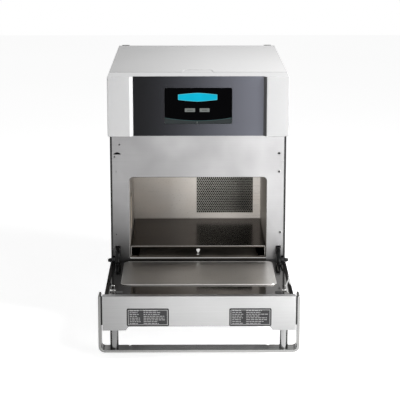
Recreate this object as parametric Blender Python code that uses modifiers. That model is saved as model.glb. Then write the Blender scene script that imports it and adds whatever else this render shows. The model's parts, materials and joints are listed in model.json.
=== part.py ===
"""A countertop speed oven with its door open, as separate named sub-parts.

Metres, +Z up. The origin is on the ground at the middle of the whole outline,
the door opens towards -Y, and the face frame stands at y = FACE_Y.
"""

import math

import bmesh
import bpy
from mathutils import Matrix

# Small gaps and overruns shared by every piece
GAP = 0.0003
RUNNING_GAP = 0.001
OVERRUN = 0.002
SHEET = 0.0015
WELD = 0.000001

# Whole body. Its height and depth follow from the door, the hood and the cavity
BODY_WIDTH = 0.409
REAR_DEPTH = 0.2305
LEG_HEIGHT = 0.100
FRAME_RETURN = 0.016
COVER_SKIRT = 0.020
PAN_HEIGHT = 0.032

# Door, measured from its hinge axis
HINGE_RISE = 0.0442
HINGE_STANDOFF = 0.002
DOOR_LENGTH = 0.304
DOOR_THICKNESS = 0.077
DOOR_OVERLAP = 0.0007
DOOR_START = 0.004
DOOR_PAN_DROP = 0.0015
CAP_PROUD = 0.0043
CAP_LENGTH = 0.0173
BAND_WIDTH = 0.0462
BAND_SLOPE = 0.0065
RECESS_DEPTH = 0.0087
PLATE_MARGIN = 0.0322
PLATE_START = 0.016
PLATE_END_MARGIN = 0.0727
PLATE_CORNER = 0.014
PLATE_PROUD = 0.001
LABEL_WIDTH = 0.091
LABEL_HEIGHT = 0.0395
LABEL_MARGIN = 0.053
LABEL_THICKNESS = 0.0008
LABEL_EDGE = 0.0015
LABEL_CORNER = 0.003

# Handle
STRAP_THICKNESS = 0.0061
STRAP_WIDTH = 0.038
STRAP_SETBACK = 0.004
STRAP_SIDE_GAP = 0.0033
STRAP_CORNER = 0.0135
STRAP_DROP = 0.0515
STRAP_TOP_DROP = 0.0008
NOTCH_INSET = 0.0332
NOTCH_SIZE = 0.006
POST_RADIUS = 0.0093
POST_INSET = 0.0245

# Hood over the door
HOOD_HEIGHT = 0.1361
HOOD_OVERLAP = 0.0006
HOOD_DOOR_GAP = 0.0047
HOOD_BAND = 0.050
HOOD_WALL = 0.003
HOOD_EDGE = 0.0022
FASCIA_THICKNESS = 0.002
FASCIA_DEPTH = 0.009
FASCIA_SLOPE = 0.0075
DISPLAY_WIDTH = 0.153
DISPLAY_RISE = 0.0276
DISPLAY_HEIGHT = 0.0825
DISPLAY_CORNER = 0.003
DISPLAY_SINK = 0.0002
BOARD_WIDTH = 0.170
BOARD_HEIGHT = 0.095
BOARD_THICKNESS = 0.0016
STANDOFF = 0.008
STANDOFF_RADIUS = 0.003
STANDOFF_INSET = 0.006
CHIP_HEIGHT = 0.010

# Cooking cavity
JAMB_WIDTH = 0.0445
CAVITY_RISE = 0.0495
CAVITY_DEPTH = 0.2915
MOUTH_HEIGHT = 0.1932
MOUTH_TOP_CORNER = 0.009
MOUTH_FOOT_CORNER = 0.0025
PLENUM_HEIGHT = 0.024
RAIL_SIZE = 0.004
RAIL_FRONT = 0.050
RAIL_RISE = 0.001
INSULATION = 0.018
INSULATION_FRONT = 0.020

# Return air screen in the back wall
SCREEN_MARGIN = 0.019
SCREEN_WIDTH = 0.143
SCREEN_RISE = 0.041
SCREEN_HEIGHT = 0.1095
SCREEN_THICKNESS = 0.001
SCREEN_COLUMNS = 11
SCREEN_ROWS = 8
SCREEN_HOLE_SHARE = 0.5

# Jet plates above and below the food
UPPER_PLATE_MARGIN = 0.002
UPPER_PLATE_THICKNESS = 0.0015
JET_RADIUS = 0.005
JET_COLUMNS = 6
JET_ROWS = 4
TRAY_HEIGHT = 0.0257
TRAY_SIDE_GAP = 0.0017
TRAY_SETBACK = 0.012
TRAY_THICKNESS = 0.0015
TRAY_LIP = 0.004
TRAY_RUNNER = 0.018
TRAY_CURL = 0.005
CLIP_WIDTH = 0.011
CLIP_HEIGHT = 0.009
CLIP_STEM = 0.004
CLIP_THICKNESS = 0.0015
CLIP_BOTTOM = 0.004

# Hinge hardware
PIN_RADIUS = 0.003
PIN_HEAD_RADIUS = 0.0055
PIN_HEAD = 0.0075
PIN_TIP_SHARE = 0.62
NOSE_RADIUS = 0.009
EAR_THICKNESS = 0.0027
EAR_LENGTH = 0.060
EAR_DEPTH = 0.014
BRACKET_THICKNESS = 0.003
BRACKET_LENGTH = 0.060
BRACKET_SEAT_START = 0.022
ARM_INSET = 0.016
ARM_THICKNESS = 0.009
ARM_RADIUS = 0.029
ARM_WIDTH = 0.006
ARM_FOOT_START = 0.020
ARM_FOOT_END = 0.112
ARM_FOOT_DEPTH = 0.009
ARM_SWEEP = math.radians(132)
ARM_SLOT_WIDTH = 0.0116
ARM_SLOT_END = 0.095

# Latch hooks and the switches that they close
HOOK_INSET = 0.0165
HOOK_SETBACK = 0.0317
HOOK_BASE = 0.013
HOOK_THICKNESS = 0.0022
HOOK_HEIGHT = 0.0115
HOOK_CHAMFER = 0.0008
HOOK_BAR = 0.0019
WIDE_HOOK = 0.008
NARROW_HOOK = 0.0026
WIDE_SLOT = 0.018
NARROW_SLOT = 0.0056
HOOK_SLOT_HEIGHT = 0.005
HOOK_SLOT_DROP = 0.0021
SWITCH_WIDTH = 0.020
SWITCH_DEPTH = 0.020
SWITCH_HEIGHT = 0.030
SWITCH_GAP = 0.0068

# Blower behind the cavity
CONVERTER_THICKNESS = 0.0157
CONVERTER_MARGIN = 0.006
CONVERTER_WALL = 0.006
CONVERTER_COLUMNS = 5
CONVERTER_ROWS = 4
BLOWER_RISE = 0.0955
DRUM_RADIUS = 0.088
DRUM_DEPTH = 0.056
INLET_RADIUS = 0.045
OUTLET_WIDTH = 0.075
OUTLET_HEIGHT = 0.018
OUTLET_DROP = 0.002
WHEEL_RADIUS = 0.050
WHEEL_RIM = 0.008
WHEEL_DISC = 0.002
WHEEL_DEPTH = 0.030
WHEEL_BLADES = 12
BLADE_THICKNESS = 0.0015
WHEEL_BACK_GAP = 0.006
SHAFT_RADIUS = 0.004
HEATER_RADIUS = 0.066
HEATER_TUBE = 0.0035
HEATER_SETBACK = 0.012
HEATER_OPEN = math.radians(24)
MOTOR_RADIUS = 0.042
MOTOR_DEPTH = 0.077
MOTOR_NECK_RADIUS = 0.020
MOTOR_NECK = 0.012

# Microwave supply
GUIDE_THICKNESS = 0.028
GUIDE_HEIGHT = 0.090
GUIDE_TAIL = 0.0835
GUIDE_RISE = 0.0505
GUIDE_START = 0.060
PORT_HEIGHT = 0.070
PORT_LENGTH = 0.030
PORT_SETBACK = 0.004
COVER_MARGIN = 0.004
COVER_THICKNESS = 0.001
TUBE_WIDTH = 0.080
TUBE_DEPTH = 0.060
TUBE_HEIGHT = 0.065
ANTENNA_RADIUS = 0.008
ANTENNA_LENGTH = 0.018
FIN_COUNT = 5
FIN_PROUD = 0.006
FIN_THICKNESS = 0.0015
CORE_SIZE = (0.090, 0.070, 0.085)
CORE_MARGIN = 0.023
COIL_GROWTH = 0.012
COIL_SHARE = 0.32
CAN_SIZE = (0.036, 0.090, 0.055)
CAN_CORNER = 0.012
CAN_SPACING = 0.022
TERMINAL_RADIUS = 0.004
TERMINAL_HEIGHT = 0.008
TERMINAL_SHARES = (0.3, 0.7)
SUPPLY_SPACING = 0.0435

# Cooling fan, filter and inlet at the back
FAN_SIZE = 0.120
FAN_DEPTH = 0.038
FAN_BORE = 0.056
FAN_HUB = 0.022
FAN_BLADES = 5
FAN_BLADE_DEPTH = 0.022
FAN_BLADE_THICKNESS = 0.003
FAN_BLADE_TWIST = math.radians(38)
FAN_MARGIN = 0.0545
FAN_DROP = 0.209
STRUT_COUNT = 2
STRUT_WIDTH = 0.006
STRUT_DEPTH = 0.004
GRILLE_SLOTS = 9
GRILLE_SLOT_SHARE = 0.5
FILTER_MARGIN = 0.0445
FILTER_RISE = 0.028
FILTER_WIDTH = 0.130
FILTER_HEIGHT = 0.100
FILTER_THICKNESS = 0.008
FILTER_BORDER = 0.008
FILTER_COLUMNS = 9
FILTER_ROWS = 7
FILTER_HOLE_SHARE = 0.72
FILTER_RAIL = 0.003
FILTER_LIP = 0.003
GLAND_MARGIN = 0.0545
GLAND_RISE = 0.055
GLAND_RADIUS = 0.014
GLAND_NECK = 0.011
GLAND_BORE = 0.005
GLAND_PROUD = 0.024
GLAND_FLANGE = 0.005

# Legs
LEG_RADIUS = 0.017
LEG_TOP_RADIUS = 0.021
LEG_FLANGE_RADIUS = 0.027
LEG_FLANGE = 0.003
LEG_INSET = 0.040
LEG_SETBACK = 0.045
PAD_RADIUS = 0.019
PAD_HEIGHT = 0.012
PAD_EDGE = 0.002

# Louvres in the base and the sides
LOUVRE_COUNT = 8
LOUVRE_LENGTH = 0.060
LOUVRE_WIDTH = 0.004
LOUVRE_PITCH = 0.010
LOUVRE_INSET = 0.082
LOUVRE_DROP = 0.079

# Heights, from the ground up
SIDES = (("left", -1), ("right", 1))
WIDE_HOOK_SIDE = "left"
FLOOR_INSIDE = LEG_HEIGHT + SHEET
HINGE_HEIGHT = LEG_HEIGHT + HINGE_RISE
CAVITY_FLOOR = LEG_HEIGHT + CAVITY_RISE
MOUTH_TOP = CAVITY_FLOOR + MOUTH_HEIGHT
CAVITY_TOP = MOUTH_TOP + PLENUM_HEIGHT
RAIL_TOP = MOUTH_TOP + RAIL_RISE
TRAY_TOP = CAVITY_FLOOR + TRAY_HEIGHT
SCREEN_BOTTOM = CAVITY_FLOOR + SCREEN_RISE
SCREEN_TOP = SCREEN_BOTTOM + SCREEN_HEIGHT
BLOWER_HEIGHT = CAVITY_FLOOR + BLOWER_RISE
OUTLET_TOP = CAVITY_TOP - OUTLET_DROP
GUIDE_BOTTOM = CAVITY_FLOOR + GUIDE_RISE
HOOD_BOTTOM = HINGE_HEIGHT + DOOR_LENGTH + HOOD_DOOR_GAP
OVERALL_HEIGHT = HOOD_BOTTOM + HOOD_HEIGHT
DISPLAY_BOTTOM = HOOD_BOTTOM + DISPLAY_RISE
COVER_BOTTOM = OVERALL_HEIGHT - COVER_SKIRT
FAN_HEIGHT = COVER_BOTTOM - FAN_DROP
LOUVRE_TOP = COVER_BOTTOM - LOUVRE_DROP
FILTER_BOTTOM = LEG_HEIGHT + FILTER_RISE
GLAND_HEIGHT = LEG_HEIGHT + GLAND_RISE
DOOR_BOTTOM = HINGE_HEIGHT - DOOR_THICKNESS
STRAP_BOTTOM = DOOR_BOTTOM - STRAP_DROP
PAN_TOP = HINGE_HEIGHT - DOOR_PAN_DROP

# Depths, from the door's end to the back
BODY_DEPTH = CAVITY_DEPTH + REAR_DEPTH
DOOR_REACH = HINGE_STANDOFF + DOOR_LENGTH
FACE_Y = (DOOR_REACH + LABEL_THICKNESS + GAP - BODY_DEPTH - GLAND_PROUD) / 2
HINGE_Y = FACE_Y - HINGE_STANDOFF
DOOR_END_Y = FACE_Y - DOOR_REACH
BACK_Y = FACE_Y + BODY_DEPTH
HOOD_FRONT = FACE_Y - HINGE_STANDOFF - DOOR_THICKNESS
FASCIA_FRONT = HOOD_FRONT + FASCIA_DEPTH
FASCIA_BACK = FASCIA_FRONT + FASCIA_THICKNESS
HOOD_INSIDE = FASCIA_BACK + GAP + HOOD_WALL
CAVITY_BACK = FACE_Y + CAVITY_DEPTH
CAVITY_OUTSIDE_BACK = CAVITY_BACK + SHEET
GUIDE_LENGTH = CAVITY_DEPTH + GUIDE_TAIL - GUIDE_START
SUPPLY_Y = CAVITY_BACK + SUPPLY_SPACING
DRUM_FRONT = CAVITY_OUTSIDE_BACK + GAP + CONVERTER_THICKNESS + GAP
DRUM_BACK = DRUM_FRONT + DRUM_DEPTH
CAP_START = DOOR_LENGTH - CAP_LENGTH
PLATE_LENGTH = CAP_START - PLATE_START - PLATE_END_MARGIN
HOOK_REACH = CAP_START - HOOK_SETBACK
LOUVRE_START = BACK_Y - LOUVRE_INSET - LOUVRE_COUNT * LOUVRE_PITCH

# Widths, from the middle outwards
HALF_BODY = BODY_WIDTH / 2
DOOR_WIDTH = BODY_WIDTH + 2 * DOOR_OVERLAP
HALF_DOOR = DOOR_WIDTH / 2
HALF_CAP = HALF_DOOR + CAP_PROUD
HALF_HOOD = HALF_BODY + HOOD_OVERLAP
HALF_RECESS = HALF_HOOD - HOOD_BAND
HALF_FASCIA = HALF_RECESS - FASCIA_SLOPE - GAP
BAND_INSIDE = HALF_DOOR - BAND_WIDTH
PLATE_WIDTH = DOOR_WIDTH - 2 * PLATE_MARGIN
HALF_CAVITY = HALF_BODY - JAMB_WIDTH
TRAY_WIDTH = 2 * (HALF_CAVITY - TRAY_SIDE_GAP)
SCREEN_OFFSET = HALF_CAVITY - SCREEN_MARGIN - SCREEN_WIDTH / 2
BLOWER_X = SCREEN_OFFSET
POST_OFFSET = HALF_CAP - POST_INSET
NOTCH_OFFSET = POST_OFFSET - NOTCH_INSET
ARM_OFFSET = HALF_BODY - ARM_INSET
HOOK_OFFSET = HALF_BODY - HOOK_INSET
TRANSFORMER_OFFSET = CORE_SIZE[0] / 2 + CORE_MARGIN + SHEET - HALF_BODY
CAPACITOR_OFFSET = TRANSFORMER_OFFSET + CORE_SIZE[0] / 2 + CAN_SPACING + CAN_SIZE[0] / 2
FAN_OFFSET = FAN_MARGIN + FAN_SIZE / 2 - HALF_BODY
FILTER_OFFSET = HALF_BODY - FILTER_MARGIN - FILTER_WIDTH / 2
GLAND_OFFSET = GLAND_MARGIN - HALF_BODY


def collection(name, parent):
    """An empty collection under the given one."""
    made = bpy.data.collections.new(name)
    parent.children.link(made)
    return made


def clear_scene():
    """Takes out what the file opened with."""
    for obj in list(bpy.data.objects):
        bpy.data.objects.remove(obj, do_unlink=True)


clear_scene()
PARTS = collection("speed_oven", bpy.context.scene.collection)
CUTTERS = collection("cutters", bpy.context.scene.collection)


def finish(obj, colour, roughness, metallic):
    """Gives an object its own Principled material."""
    material = bpy.data.materials.new(obj.name)
    material.use_nodes = True
    shader = material.node_tree.nodes["Principled BSDF"]
    shader.inputs["Base Color"].default_value = (*colour, 1)
    shader.inputs["Roughness"].default_value = roughness
    shader.inputs["Metallic"].default_value = metallic
    obj.data.materials.clear()
    obj.data.materials.append(material)
    return obj


def stainless(obj):
    return finish(obj, (0.62, 0.62, 0.61), 0.3, 1)


def painted(obj):
    return finish(obj, (0.72, 0.73, 0.74), 0.4, 0)


def galvanised(obj):
    return finish(obj, (0.55, 0.56, 0.58), 0.45, 1)


def dark_steel(obj):
    return finish(obj, (0.03, 0.03, 0.032), 0.4, 1)


def bronzed(obj):
    return finish(obj, (0.12, 0.095, 0.08), 0.3, 1)


def black_gloss(obj):
    return finish(obj, (0.02, 0.02, 0.023), 0.08, 0)


def rubber(obj):
    return finish(obj, (0.02, 0.02, 0.02), 0.8, 0)


def board_green(obj):
    return finish(obj, (0.02, 0.16, 0.07), 0.5, 0)


def wool(obj):
    return finish(obj, (0.75, 0.73, 0.66), 0.95, 0)


def ceramic(obj):
    return finish(obj, (0.5, 0.44, 0.36), 0.8, 0)


def white_plastic(obj):
    return finish(obj, (0.8, 0.8, 0.78), 0.4, 0)


def mesh_object(name, mesh, place=CUTTERS):
    """Wraps a mesh in an object of the given collection."""
    obj = bpy.data.objects.new(name, mesh)
    place.objects.link(obj)
    if place is CUTTERS:
        obj.hide_render = True
        obj.display_type = "WIRE"
    return obj


def block(name, x, y, z, place=CUTTERS):
    """A box between the low and high values of x, y and z."""
    shape = bmesh.new()
    bmesh.ops.create_cube(shape, size=1)
    sizes = [high - low for low, high in (x, y, z)]
    bmesh.ops.scale(shape, vec=sizes, verts=shape.verts)
    mesh = bpy.data.meshes.new(name)
    shape.to_mesh(mesh)
    shape.free()
    obj = mesh_object(name, mesh, place)
    obj.location = [(low + high) / 2 for low, high in (x, y, z)]
    return obj


AXIS_TURN = {
    "X": Matrix(((0, 0, 1), (1, 0, 0), (0, 1, 0))),
    "Y": Matrix(((1, 0, 0), (0, 0, -1), (0, 1, 0))),
    "Z": Matrix.Identity(3),
}


def rod(name, axis, centre, radius, length, place=CUTTERS, sides=20, tip=None):
    """A cylinder or cone along an axis, from its centre's start point onwards."""
    shape = bmesh.new()
    bmesh.ops.create_cone(
        shape,
        cap_ends=True,
        segments=sides,
        radius1=radius,
        radius2=radius if tip is None else tip,
        depth=length,
    )
    mesh = bpy.data.meshes.new(name)
    shape.to_mesh(mesh)
    shape.free()
    mesh.shade_smooth()
    mesh.set_sharp_from_angle(angle=math.radians(30))
    obj = mesh_object(name, mesh, place)
    turn = {"X": (0, math.pi / 2, 0), "Y": (-math.pi / 2, 0, 0), "Z": (0, 0, 0)}
    obj.rotation_euler = turn[axis]
    place_at = list(centre)
    place_at["XYZ".index(axis)] += length / 2
    obj.location = place_at
    return obj


def as_mesh(curve, place):
    """Turns a curve object into a welded mesh object of the same name."""
    bpy.context.view_layer.update()
    graph = bpy.context.evaluated_depsgraph_get()
    mesh = bpy.data.meshes.new_from_object(curve.evaluated_get(graph))
    shape = bmesh.new()
    shape.from_mesh(mesh)
    bmesh.ops.remove_doubles(shape, verts=shape.verts, dist=WELD)
    bmesh.ops.recalc_face_normals(shape, faces=shape.faces)
    shape.to_mesh(mesh)
    shape.free()
    name = curve.name
    matrix = curve.matrix_world.copy()
    bpy.data.objects.remove(curve, do_unlink=True)
    obj = mesh_object(name, mesh, place)
    obj.matrix_world = matrix
    return obj


def prism(name, outline, axis, span, place=CUTTERS):
    """A flat outline made thick along an axis. X takes (y, z), Y (x, z), Z (x, y)."""
    data = bpy.data.curves.new(name, "CURVE")
    data.dimensions = "2D"
    data.fill_mode = "BOTH"
    data.extrude = (span[1] - span[0]) / 2
    spline = data.splines.new("POLY")
    spline.points.add(len(outline) - 1)
    for point, (a, b) in zip(spline.points, outline):
        point.co = (a, b, 0, 1)
    spline.use_cyclic_u = True
    curve = bpy.data.objects.new(name, data)
    place.objects.link(curve)
    curve.matrix_world = AXIS_TURN[axis].to_4x4()
    curve.location["XYZ".index(axis)] = (span[0] + span[1]) / 2
    return as_mesh(curve, place)


def tube(name, points, radius, place=PARTS):
    """A round bar along a list of points."""
    data = bpy.data.curves.new(name, "CURVE")
    data.dimensions = "3D"
    data.bevel_depth = radius
    data.bevel_resolution = 2
    data.use_fill_caps = True
    spline = data.splines.new("POLY")
    spline.points.add(len(points) - 1)
    for point, place_at in zip(spline.points, points):
        point.co = (*place_at, 1)
    curve = bpy.data.objects.new(name, data)
    place.objects.link(curve)
    return as_mesh(curve, place)


def turned(name, profile, place=PARTS, steps=20):
    """A solid turned about Z. The profile runs down its outside, from axis to axis."""
    mesh = bpy.data.meshes.new(name)
    edges = [(i, i + 1) for i in range(len(profile) - 1)]
    mesh.from_pydata([(radius, 0, height) for radius, height in profile], edges, [])
    obj = mesh_object(name, mesh, place)
    screw = obj.modifiers.new("turn", "SCREW")
    screw.steps = screw.render_steps = steps
    screw.use_merge_vertices = True
    screw.merge_threshold = WELD
    screw.use_smooth_shade = True
    return obj


def combine(obj, other, operation):
    """Cuts, or joins, another solid with a Boolean."""
    modifier = obj.modifiers.new(other.name, "BOOLEAN")
    modifier.operation = operation
    modifier.object = other
    modifier.solver = "EXACT"
    other.hide_render = True
    other.display_type = "WIRE"
    return obj


def cut(obj, *others):
    for other in others:
        combine(obj, other, "DIFFERENCE")
    return obj


def join(obj, *others):
    for other in others:
        combine(obj, other, "UNION")
    return obj


def gathered(name, others):
    """A helper collection of solids, for one Boolean over all of them."""
    group = collection(name, CUTTERS)
    for other in others:
        CUTTERS.objects.unlink(other)
        group.objects.link(other)
    group.hide_render = True
    return group


def combine_all(obj, name, others, operation):
    """One Boolean with many solids."""
    modifier = obj.modifiers.new(name, "BOOLEAN")
    modifier.operation = operation
    modifier.operand_type = "COLLECTION"
    modifier.collection = gathered(name, others)
    modifier.solver = "EXACT"
    return obj


def bevel(obj, width, segments=2):
    """Rounds the sharp edges of a solid."""
    modifier = obj.modifiers.new("edge", "BEVEL")
    modifier.width = width
    modifier.segments = segments
    modifier.limit_method = "ANGLE"
    modifier.angle_limit = math.radians(40)
    return obj


def carry(parent, *children):
    """Parents pieces to an empty and keeps them where they are."""
    bpy.context.view_layer.update()
    for child in children:
        child.parent = parent
        child.matrix_parent_inverse = parent.matrix_world.inverted()


def axis_empty(name, place_at):
    """An empty that marks a joint."""
    empty = bpy.data.objects.new(name, None)
    empty.location = place_at
    PARTS.objects.link(empty)
    return empty


def sided(side, inner, outer):
    """The x span between two distances from the middle, on one side."""
    return tuple(sorted((side * inner, side * outer)))


def arc(centre, radius, start, end, steps=8):
    """Points on a circle between two angles."""
    return [
        (
            centre[0] + radius * math.cos(start + (end - start) * i / steps),
            centre[1] + radius * math.sin(start + (end - start) * i / steps),
        )
        for i in range(steps + 1)
    ]


def rounded(x, z, radius, steps=4, foot_radius=None):
    """A rectangle with round corners. The lower two may have their own radius."""
    foot = radius if foot_radius is None else foot_radius
    quarter = math.pi / 2
    corners = (
        ((x[1] - radius, z[1] - radius), radius),
        ((x[0] + radius, z[1] - radius), radius),
        ((x[0] + foot, z[0] + foot), foot),
        ((x[1] - foot, z[0] + foot), foot),
    )
    points = []
    for turn, (centre, size) in enumerate(corners):
        points += arc(centre, size, turn * quarter, (turn + 1) * quarter, steps)
    return points


def grid(low, high, count):
    """Evenly spread middles of so many cells between two values."""
    pitch = (high - low) / count
    return [low + pitch * (i + 0.5) for i in range(count)]


def along_door(distance):
    """The y of a place on the open door, that far from its hinge axis."""
    return HINGE_Y - distance


def door_span(start, end):
    """The y span of a stretch of the open door."""
    return (along_door(end), along_door(start))


# Chassis


def make_base_pan():
    side = HALF_BODY - SHEET - GAP
    front = FACE_Y + SHEET + GAP
    back = BACK_Y - SHEET - GAP
    pan = block(
        "base_pan", (-side, side), (front, back), (LEG_HEIGHT, LEG_HEIGHT + PAN_HEIGHT), PARTS
    )
    inside = block(
        "base_pan_inside",
        (-side + SHEET, side - SHEET),
        (front + SHEET, back - SHEET),
        (FLOOR_INSIDE, LEG_HEIGHT + PAN_HEIGHT + OVERRUN),
    )
    cut(pan, inside)
    slots = []
    for i in range(LOUVRE_COUNT):
        y = LOUVRE_START + (i + 0.5) * LOUVRE_PITCH
        slots.append(
            block(
                f"base_louvre_{i}",
                (FILTER_OFFSET - LOUVRE_LENGTH / 2, FILTER_OFFSET + LOUVRE_LENGTH / 2),
                (y - LOUVRE_WIDTH / 2, y + LOUVRE_WIDTH / 2),
                (LEG_HEIGHT - OVERRUN, FLOOR_INSIDE + OVERRUN),
            )
        )
    combine_all(pan, "base_louvres", slots, "DIFFERENCE")
    return galvanised(pan)


def half_moon(x, low, width):
    """A hook slot's outline: a level foot under an arched top."""
    radius = (HOOK_SLOT_HEIGHT**2 + (width / 2) ** 2) / (2 * HOOK_SLOT_HEIGHT)
    start = math.asin((radius - HOOK_SLOT_HEIGHT) / radius)
    return arc((x, low + HOOK_SLOT_HEIGHT - radius), radius, start, math.pi - start, 12)


def frame_cutters():
    """The cavity mouth, and the slots and notches for the door's hardware."""
    past = (FACE_Y - OVERRUN, FACE_Y + SHEET + OVERRUN)
    yield prism(
        "frame_mouth",
        rounded(
            (-HALF_CAVITY, HALF_CAVITY),
            (CAVITY_FLOOR, MOUTH_TOP),
            MOUTH_TOP_CORNER,
            foot_radius=MOUTH_FOOT_CORNER,
        ),
        "Y",
        past,
    )
    for name, side in SIDES:
        arm = ARM_SLOT_WIDTH / 2
        yield block(
            f"frame_arm_slot_{name}",
            sided(side, ARM_OFFSET - arm, ARM_OFFSET + arm),
            past,
            (
                HINGE_HEIGHT + NOSE_RADIUS + 2 * SHEET,
                HINGE_HEIGHT + ARM_RADIUS + ARM_WIDTH / 2 + 2 * RUNNING_GAP,
            ),
        )
        width = WIDE_SLOT if name == WIDE_HOOK_SIDE else NARROW_SLOT
        yield prism(
            f"frame_hook_slot_{name}",
            half_moon(side * HOOK_OFFSET, HINGE_HEIGHT + HOOK_REACH - HOOK_SLOT_DROP, width),
            "Y",
            past,
        )
        yield block(
            f"frame_hinge_notch_{name}",
            sided(side, bracket_inside() - RUNNING_GAP, HALF_BODY + OVERRUN),
            (FACE_Y - OVERRUN, HINGE_Y + NOSE_RADIUS + RUNNING_GAP),
            (
                HINGE_HEIGHT - NOSE_RADIUS - RUNNING_GAP,
                HINGE_HEIGHT + NOSE_RADIUS + RUNNING_GAP,
            ),
        )


def make_front_frame():
    frame = block(
        "front_frame",
        (-HALF_BODY, HALF_BODY),
        (FACE_Y, FACE_Y + FRAME_RETURN),
        (LEG_HEIGHT, COVER_BOTTOM - GAP),
        PARTS,
    )
    inside = block(
        "frame_inside",
        (-HALF_BODY + SHEET, HALF_BODY - SHEET),
        (FACE_Y + SHEET, FACE_Y + FRAME_RETURN + OVERRUN),
        (LEG_HEIGHT - OVERRUN, COVER_BOTTOM - GAP - SHEET),
    )
    cut(frame, inside, *frame_cutters())
    return stainless(frame)


def make_side_panels():
    for name, side in SIDES:
        panel = block(
            f"{name}_side_panel",
            sided(side, HALF_BODY - SHEET, HALF_BODY),
            (FACE_Y + FRAME_RETURN + GAP, BACK_Y),
            (LEG_HEIGHT, COVER_BOTTOM - GAP),
            PARTS,
        )
        slots = []
        for i in range(LOUVRE_COUNT):
            y = LOUVRE_START + (i + 0.5) * LOUVRE_PITCH
            slots.append(
                block(
                    f"{name}_louvre_{i}",
                    sided(side, HALF_BODY - SHEET - OVERRUN, HALF_BODY + OVERRUN),
                    (y - LOUVRE_WIDTH / 2, y + LOUVRE_WIDTH / 2),
                    (LOUVRE_TOP - LOUVRE_LENGTH, LOUVRE_TOP),
                )
            )
        combine_all(panel, f"{name}_louvres", slots, "DIFFERENCE")
        stainless(panel)


def make_rear_panel():
    side = HALF_BODY - SHEET - GAP
    face = (BACK_Y - SHEET, BACK_Y)
    past = (BACK_Y - SHEET - OVERRUN, BACK_Y + OVERRUN)
    panel = block("rear_panel", (-side, side), face, (LEG_HEIGHT, COVER_BOTTOM - GAP), PARTS)
    rail_top = FILTER_BOTTOM + FILTER_HEIGHT
    rail_out = BACK_Y + GAP + FILTER_THICKNESS + GAP
    rails = []
    for name, side in SIDES:
        inner = FILTER_WIDTH / 2 + GAP
        edge = FILTER_OFFSET + side * inner
        outer = edge + side * FILTER_RAIL
        lip = edge - side * FILTER_LIP
        rails.append(
            block(
                f"filter_rail_{name}",
                tuple(sorted((edge, outer))),
                (BACK_Y - SHEET / 2, rail_out + SHEET),
                (FILTER_BOTTOM, rail_top),
            )
        )
        rails.append(
            block(
                f"filter_lip_{name}",
                tuple(sorted((lip, outer))),
                (rail_out, rail_out + SHEET),
                (FILTER_BOTTOM, rail_top),
            )
        )
    rails.append(
        block(
            "filter_stop",
            (
                FILTER_OFFSET - FILTER_WIDTH / 2 - GAP - FILTER_RAIL,
                FILTER_OFFSET + FILTER_WIDTH / 2 + GAP + FILTER_RAIL,
            ),
            (BACK_Y - SHEET / 2, rail_out + SHEET),
            (FILTER_BOTTOM - GAP - FILTER_RAIL, FILTER_BOTTOM - GAP),
        )
    )
    join(panel, *rails)
    hole = FILTER_WIDTH / 2 - FILTER_BORDER
    cutters = [
        block(
            "filter_opening",
            (FILTER_OFFSET - hole, FILTER_OFFSET + hole),
            past,
            (FILTER_BOTTOM + FILTER_BORDER, rail_top - FILTER_BORDER),
        ),
        rod(
            "gland_hole",
            "Y",
            (GLAND_OFFSET, past[0], GLAND_HEIGHT),
            GLAND_NECK + GAP,
            past[1] - past[0],
        ),
    ]
    cut(panel, *cutters)
    combine_all(panel, "fan_grille", list(grille_slots(past)), "DIFFERENCE")
    return galvanised(panel)


def grille_slots(past):
    """Level slots across the fan's circle."""
    low, high = FAN_HEIGHT - FAN_BORE, FAN_HEIGHT + FAN_BORE
    slot = (high - low) / GRILLE_SLOTS * GRILLE_SLOT_SHARE
    for i, z in enumerate(grid(low, high, GRILLE_SLOTS)):
        half = math.sqrt(FAN_BORE**2 - (z - FAN_HEIGHT) ** 2)
        yield block(
            f"grille_slot_{i}",
            (FAN_OFFSET - half, FAN_OFFSET + half),
            past,
            (z - slot / 2, z + slot / 2),
        )


def make_top_cover():
    cover = block(
        "top_cover",
        (-HALF_BODY, HALF_BODY),
        (FACE_Y, BACK_Y),
        (COVER_BOTTOM, OVERALL_HEIGHT),
        PARTS,
    )
    inside = block(
        "cover_inside",
        (-HALF_BODY + SHEET, HALF_BODY - SHEET),
        (FACE_Y + SHEET, BACK_Y - SHEET),
        (COVER_BOTTOM - OVERRUN, OVERALL_HEIGHT - SHEET),
    )
    return painted(cut(cover, inside))


def make_legs():
    low = (PAD_HEIGHT + GAP, LEG_HEIGHT - GAP)
    profile = [
        (0, low[1]),
        (LEG_FLANGE_RADIUS, low[1]),
        (LEG_FLANGE_RADIUS, low[1] - LEG_FLANGE),
        (LEG_TOP_RADIUS, low[1] - LEG_FLANGE),
        (LEG_RADIUS, low[0]),
        (0, low[0]),
    ]
    pad_profile = [
        (0, PAD_HEIGHT),
        (PAD_RADIUS - PAD_EDGE, PAD_HEIGHT),
        (PAD_RADIUS, PAD_HEIGHT - PAD_EDGE),
        (PAD_RADIUS, PAD_EDGE),
        (PAD_RADIUS - PAD_EDGE, 0),
        (0, 0),
    ]
    x = HALF_BODY - LEG_INSET
    rows = (("front", FACE_Y + LEG_SETBACK), ("rear", BACK_Y - LEG_SETBACK))
    for row, y in rows:
        for name, side in SIDES:
            leg = galvanised(turned(f"leg_{row}_{name}", profile))
            pad = rubber(turned(f"leg_pad_{row}_{name}", pad_profile))
            leg.location = pad.location = (side * x, y, 0)


# Hood and controls


def channel(name, half, slope, front, depth, z):
    """A trough with sloping sides, open to the front, as a cutter along z."""
    outline = [
        (-half, front - OVERRUN),
        (half, front - OVERRUN),
        (half, front),
        (half - slope, front + depth),
        (slope - half, front + depth),
        (-half, front),
    ]
    return prism(name, outline, "Z", z)


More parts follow.
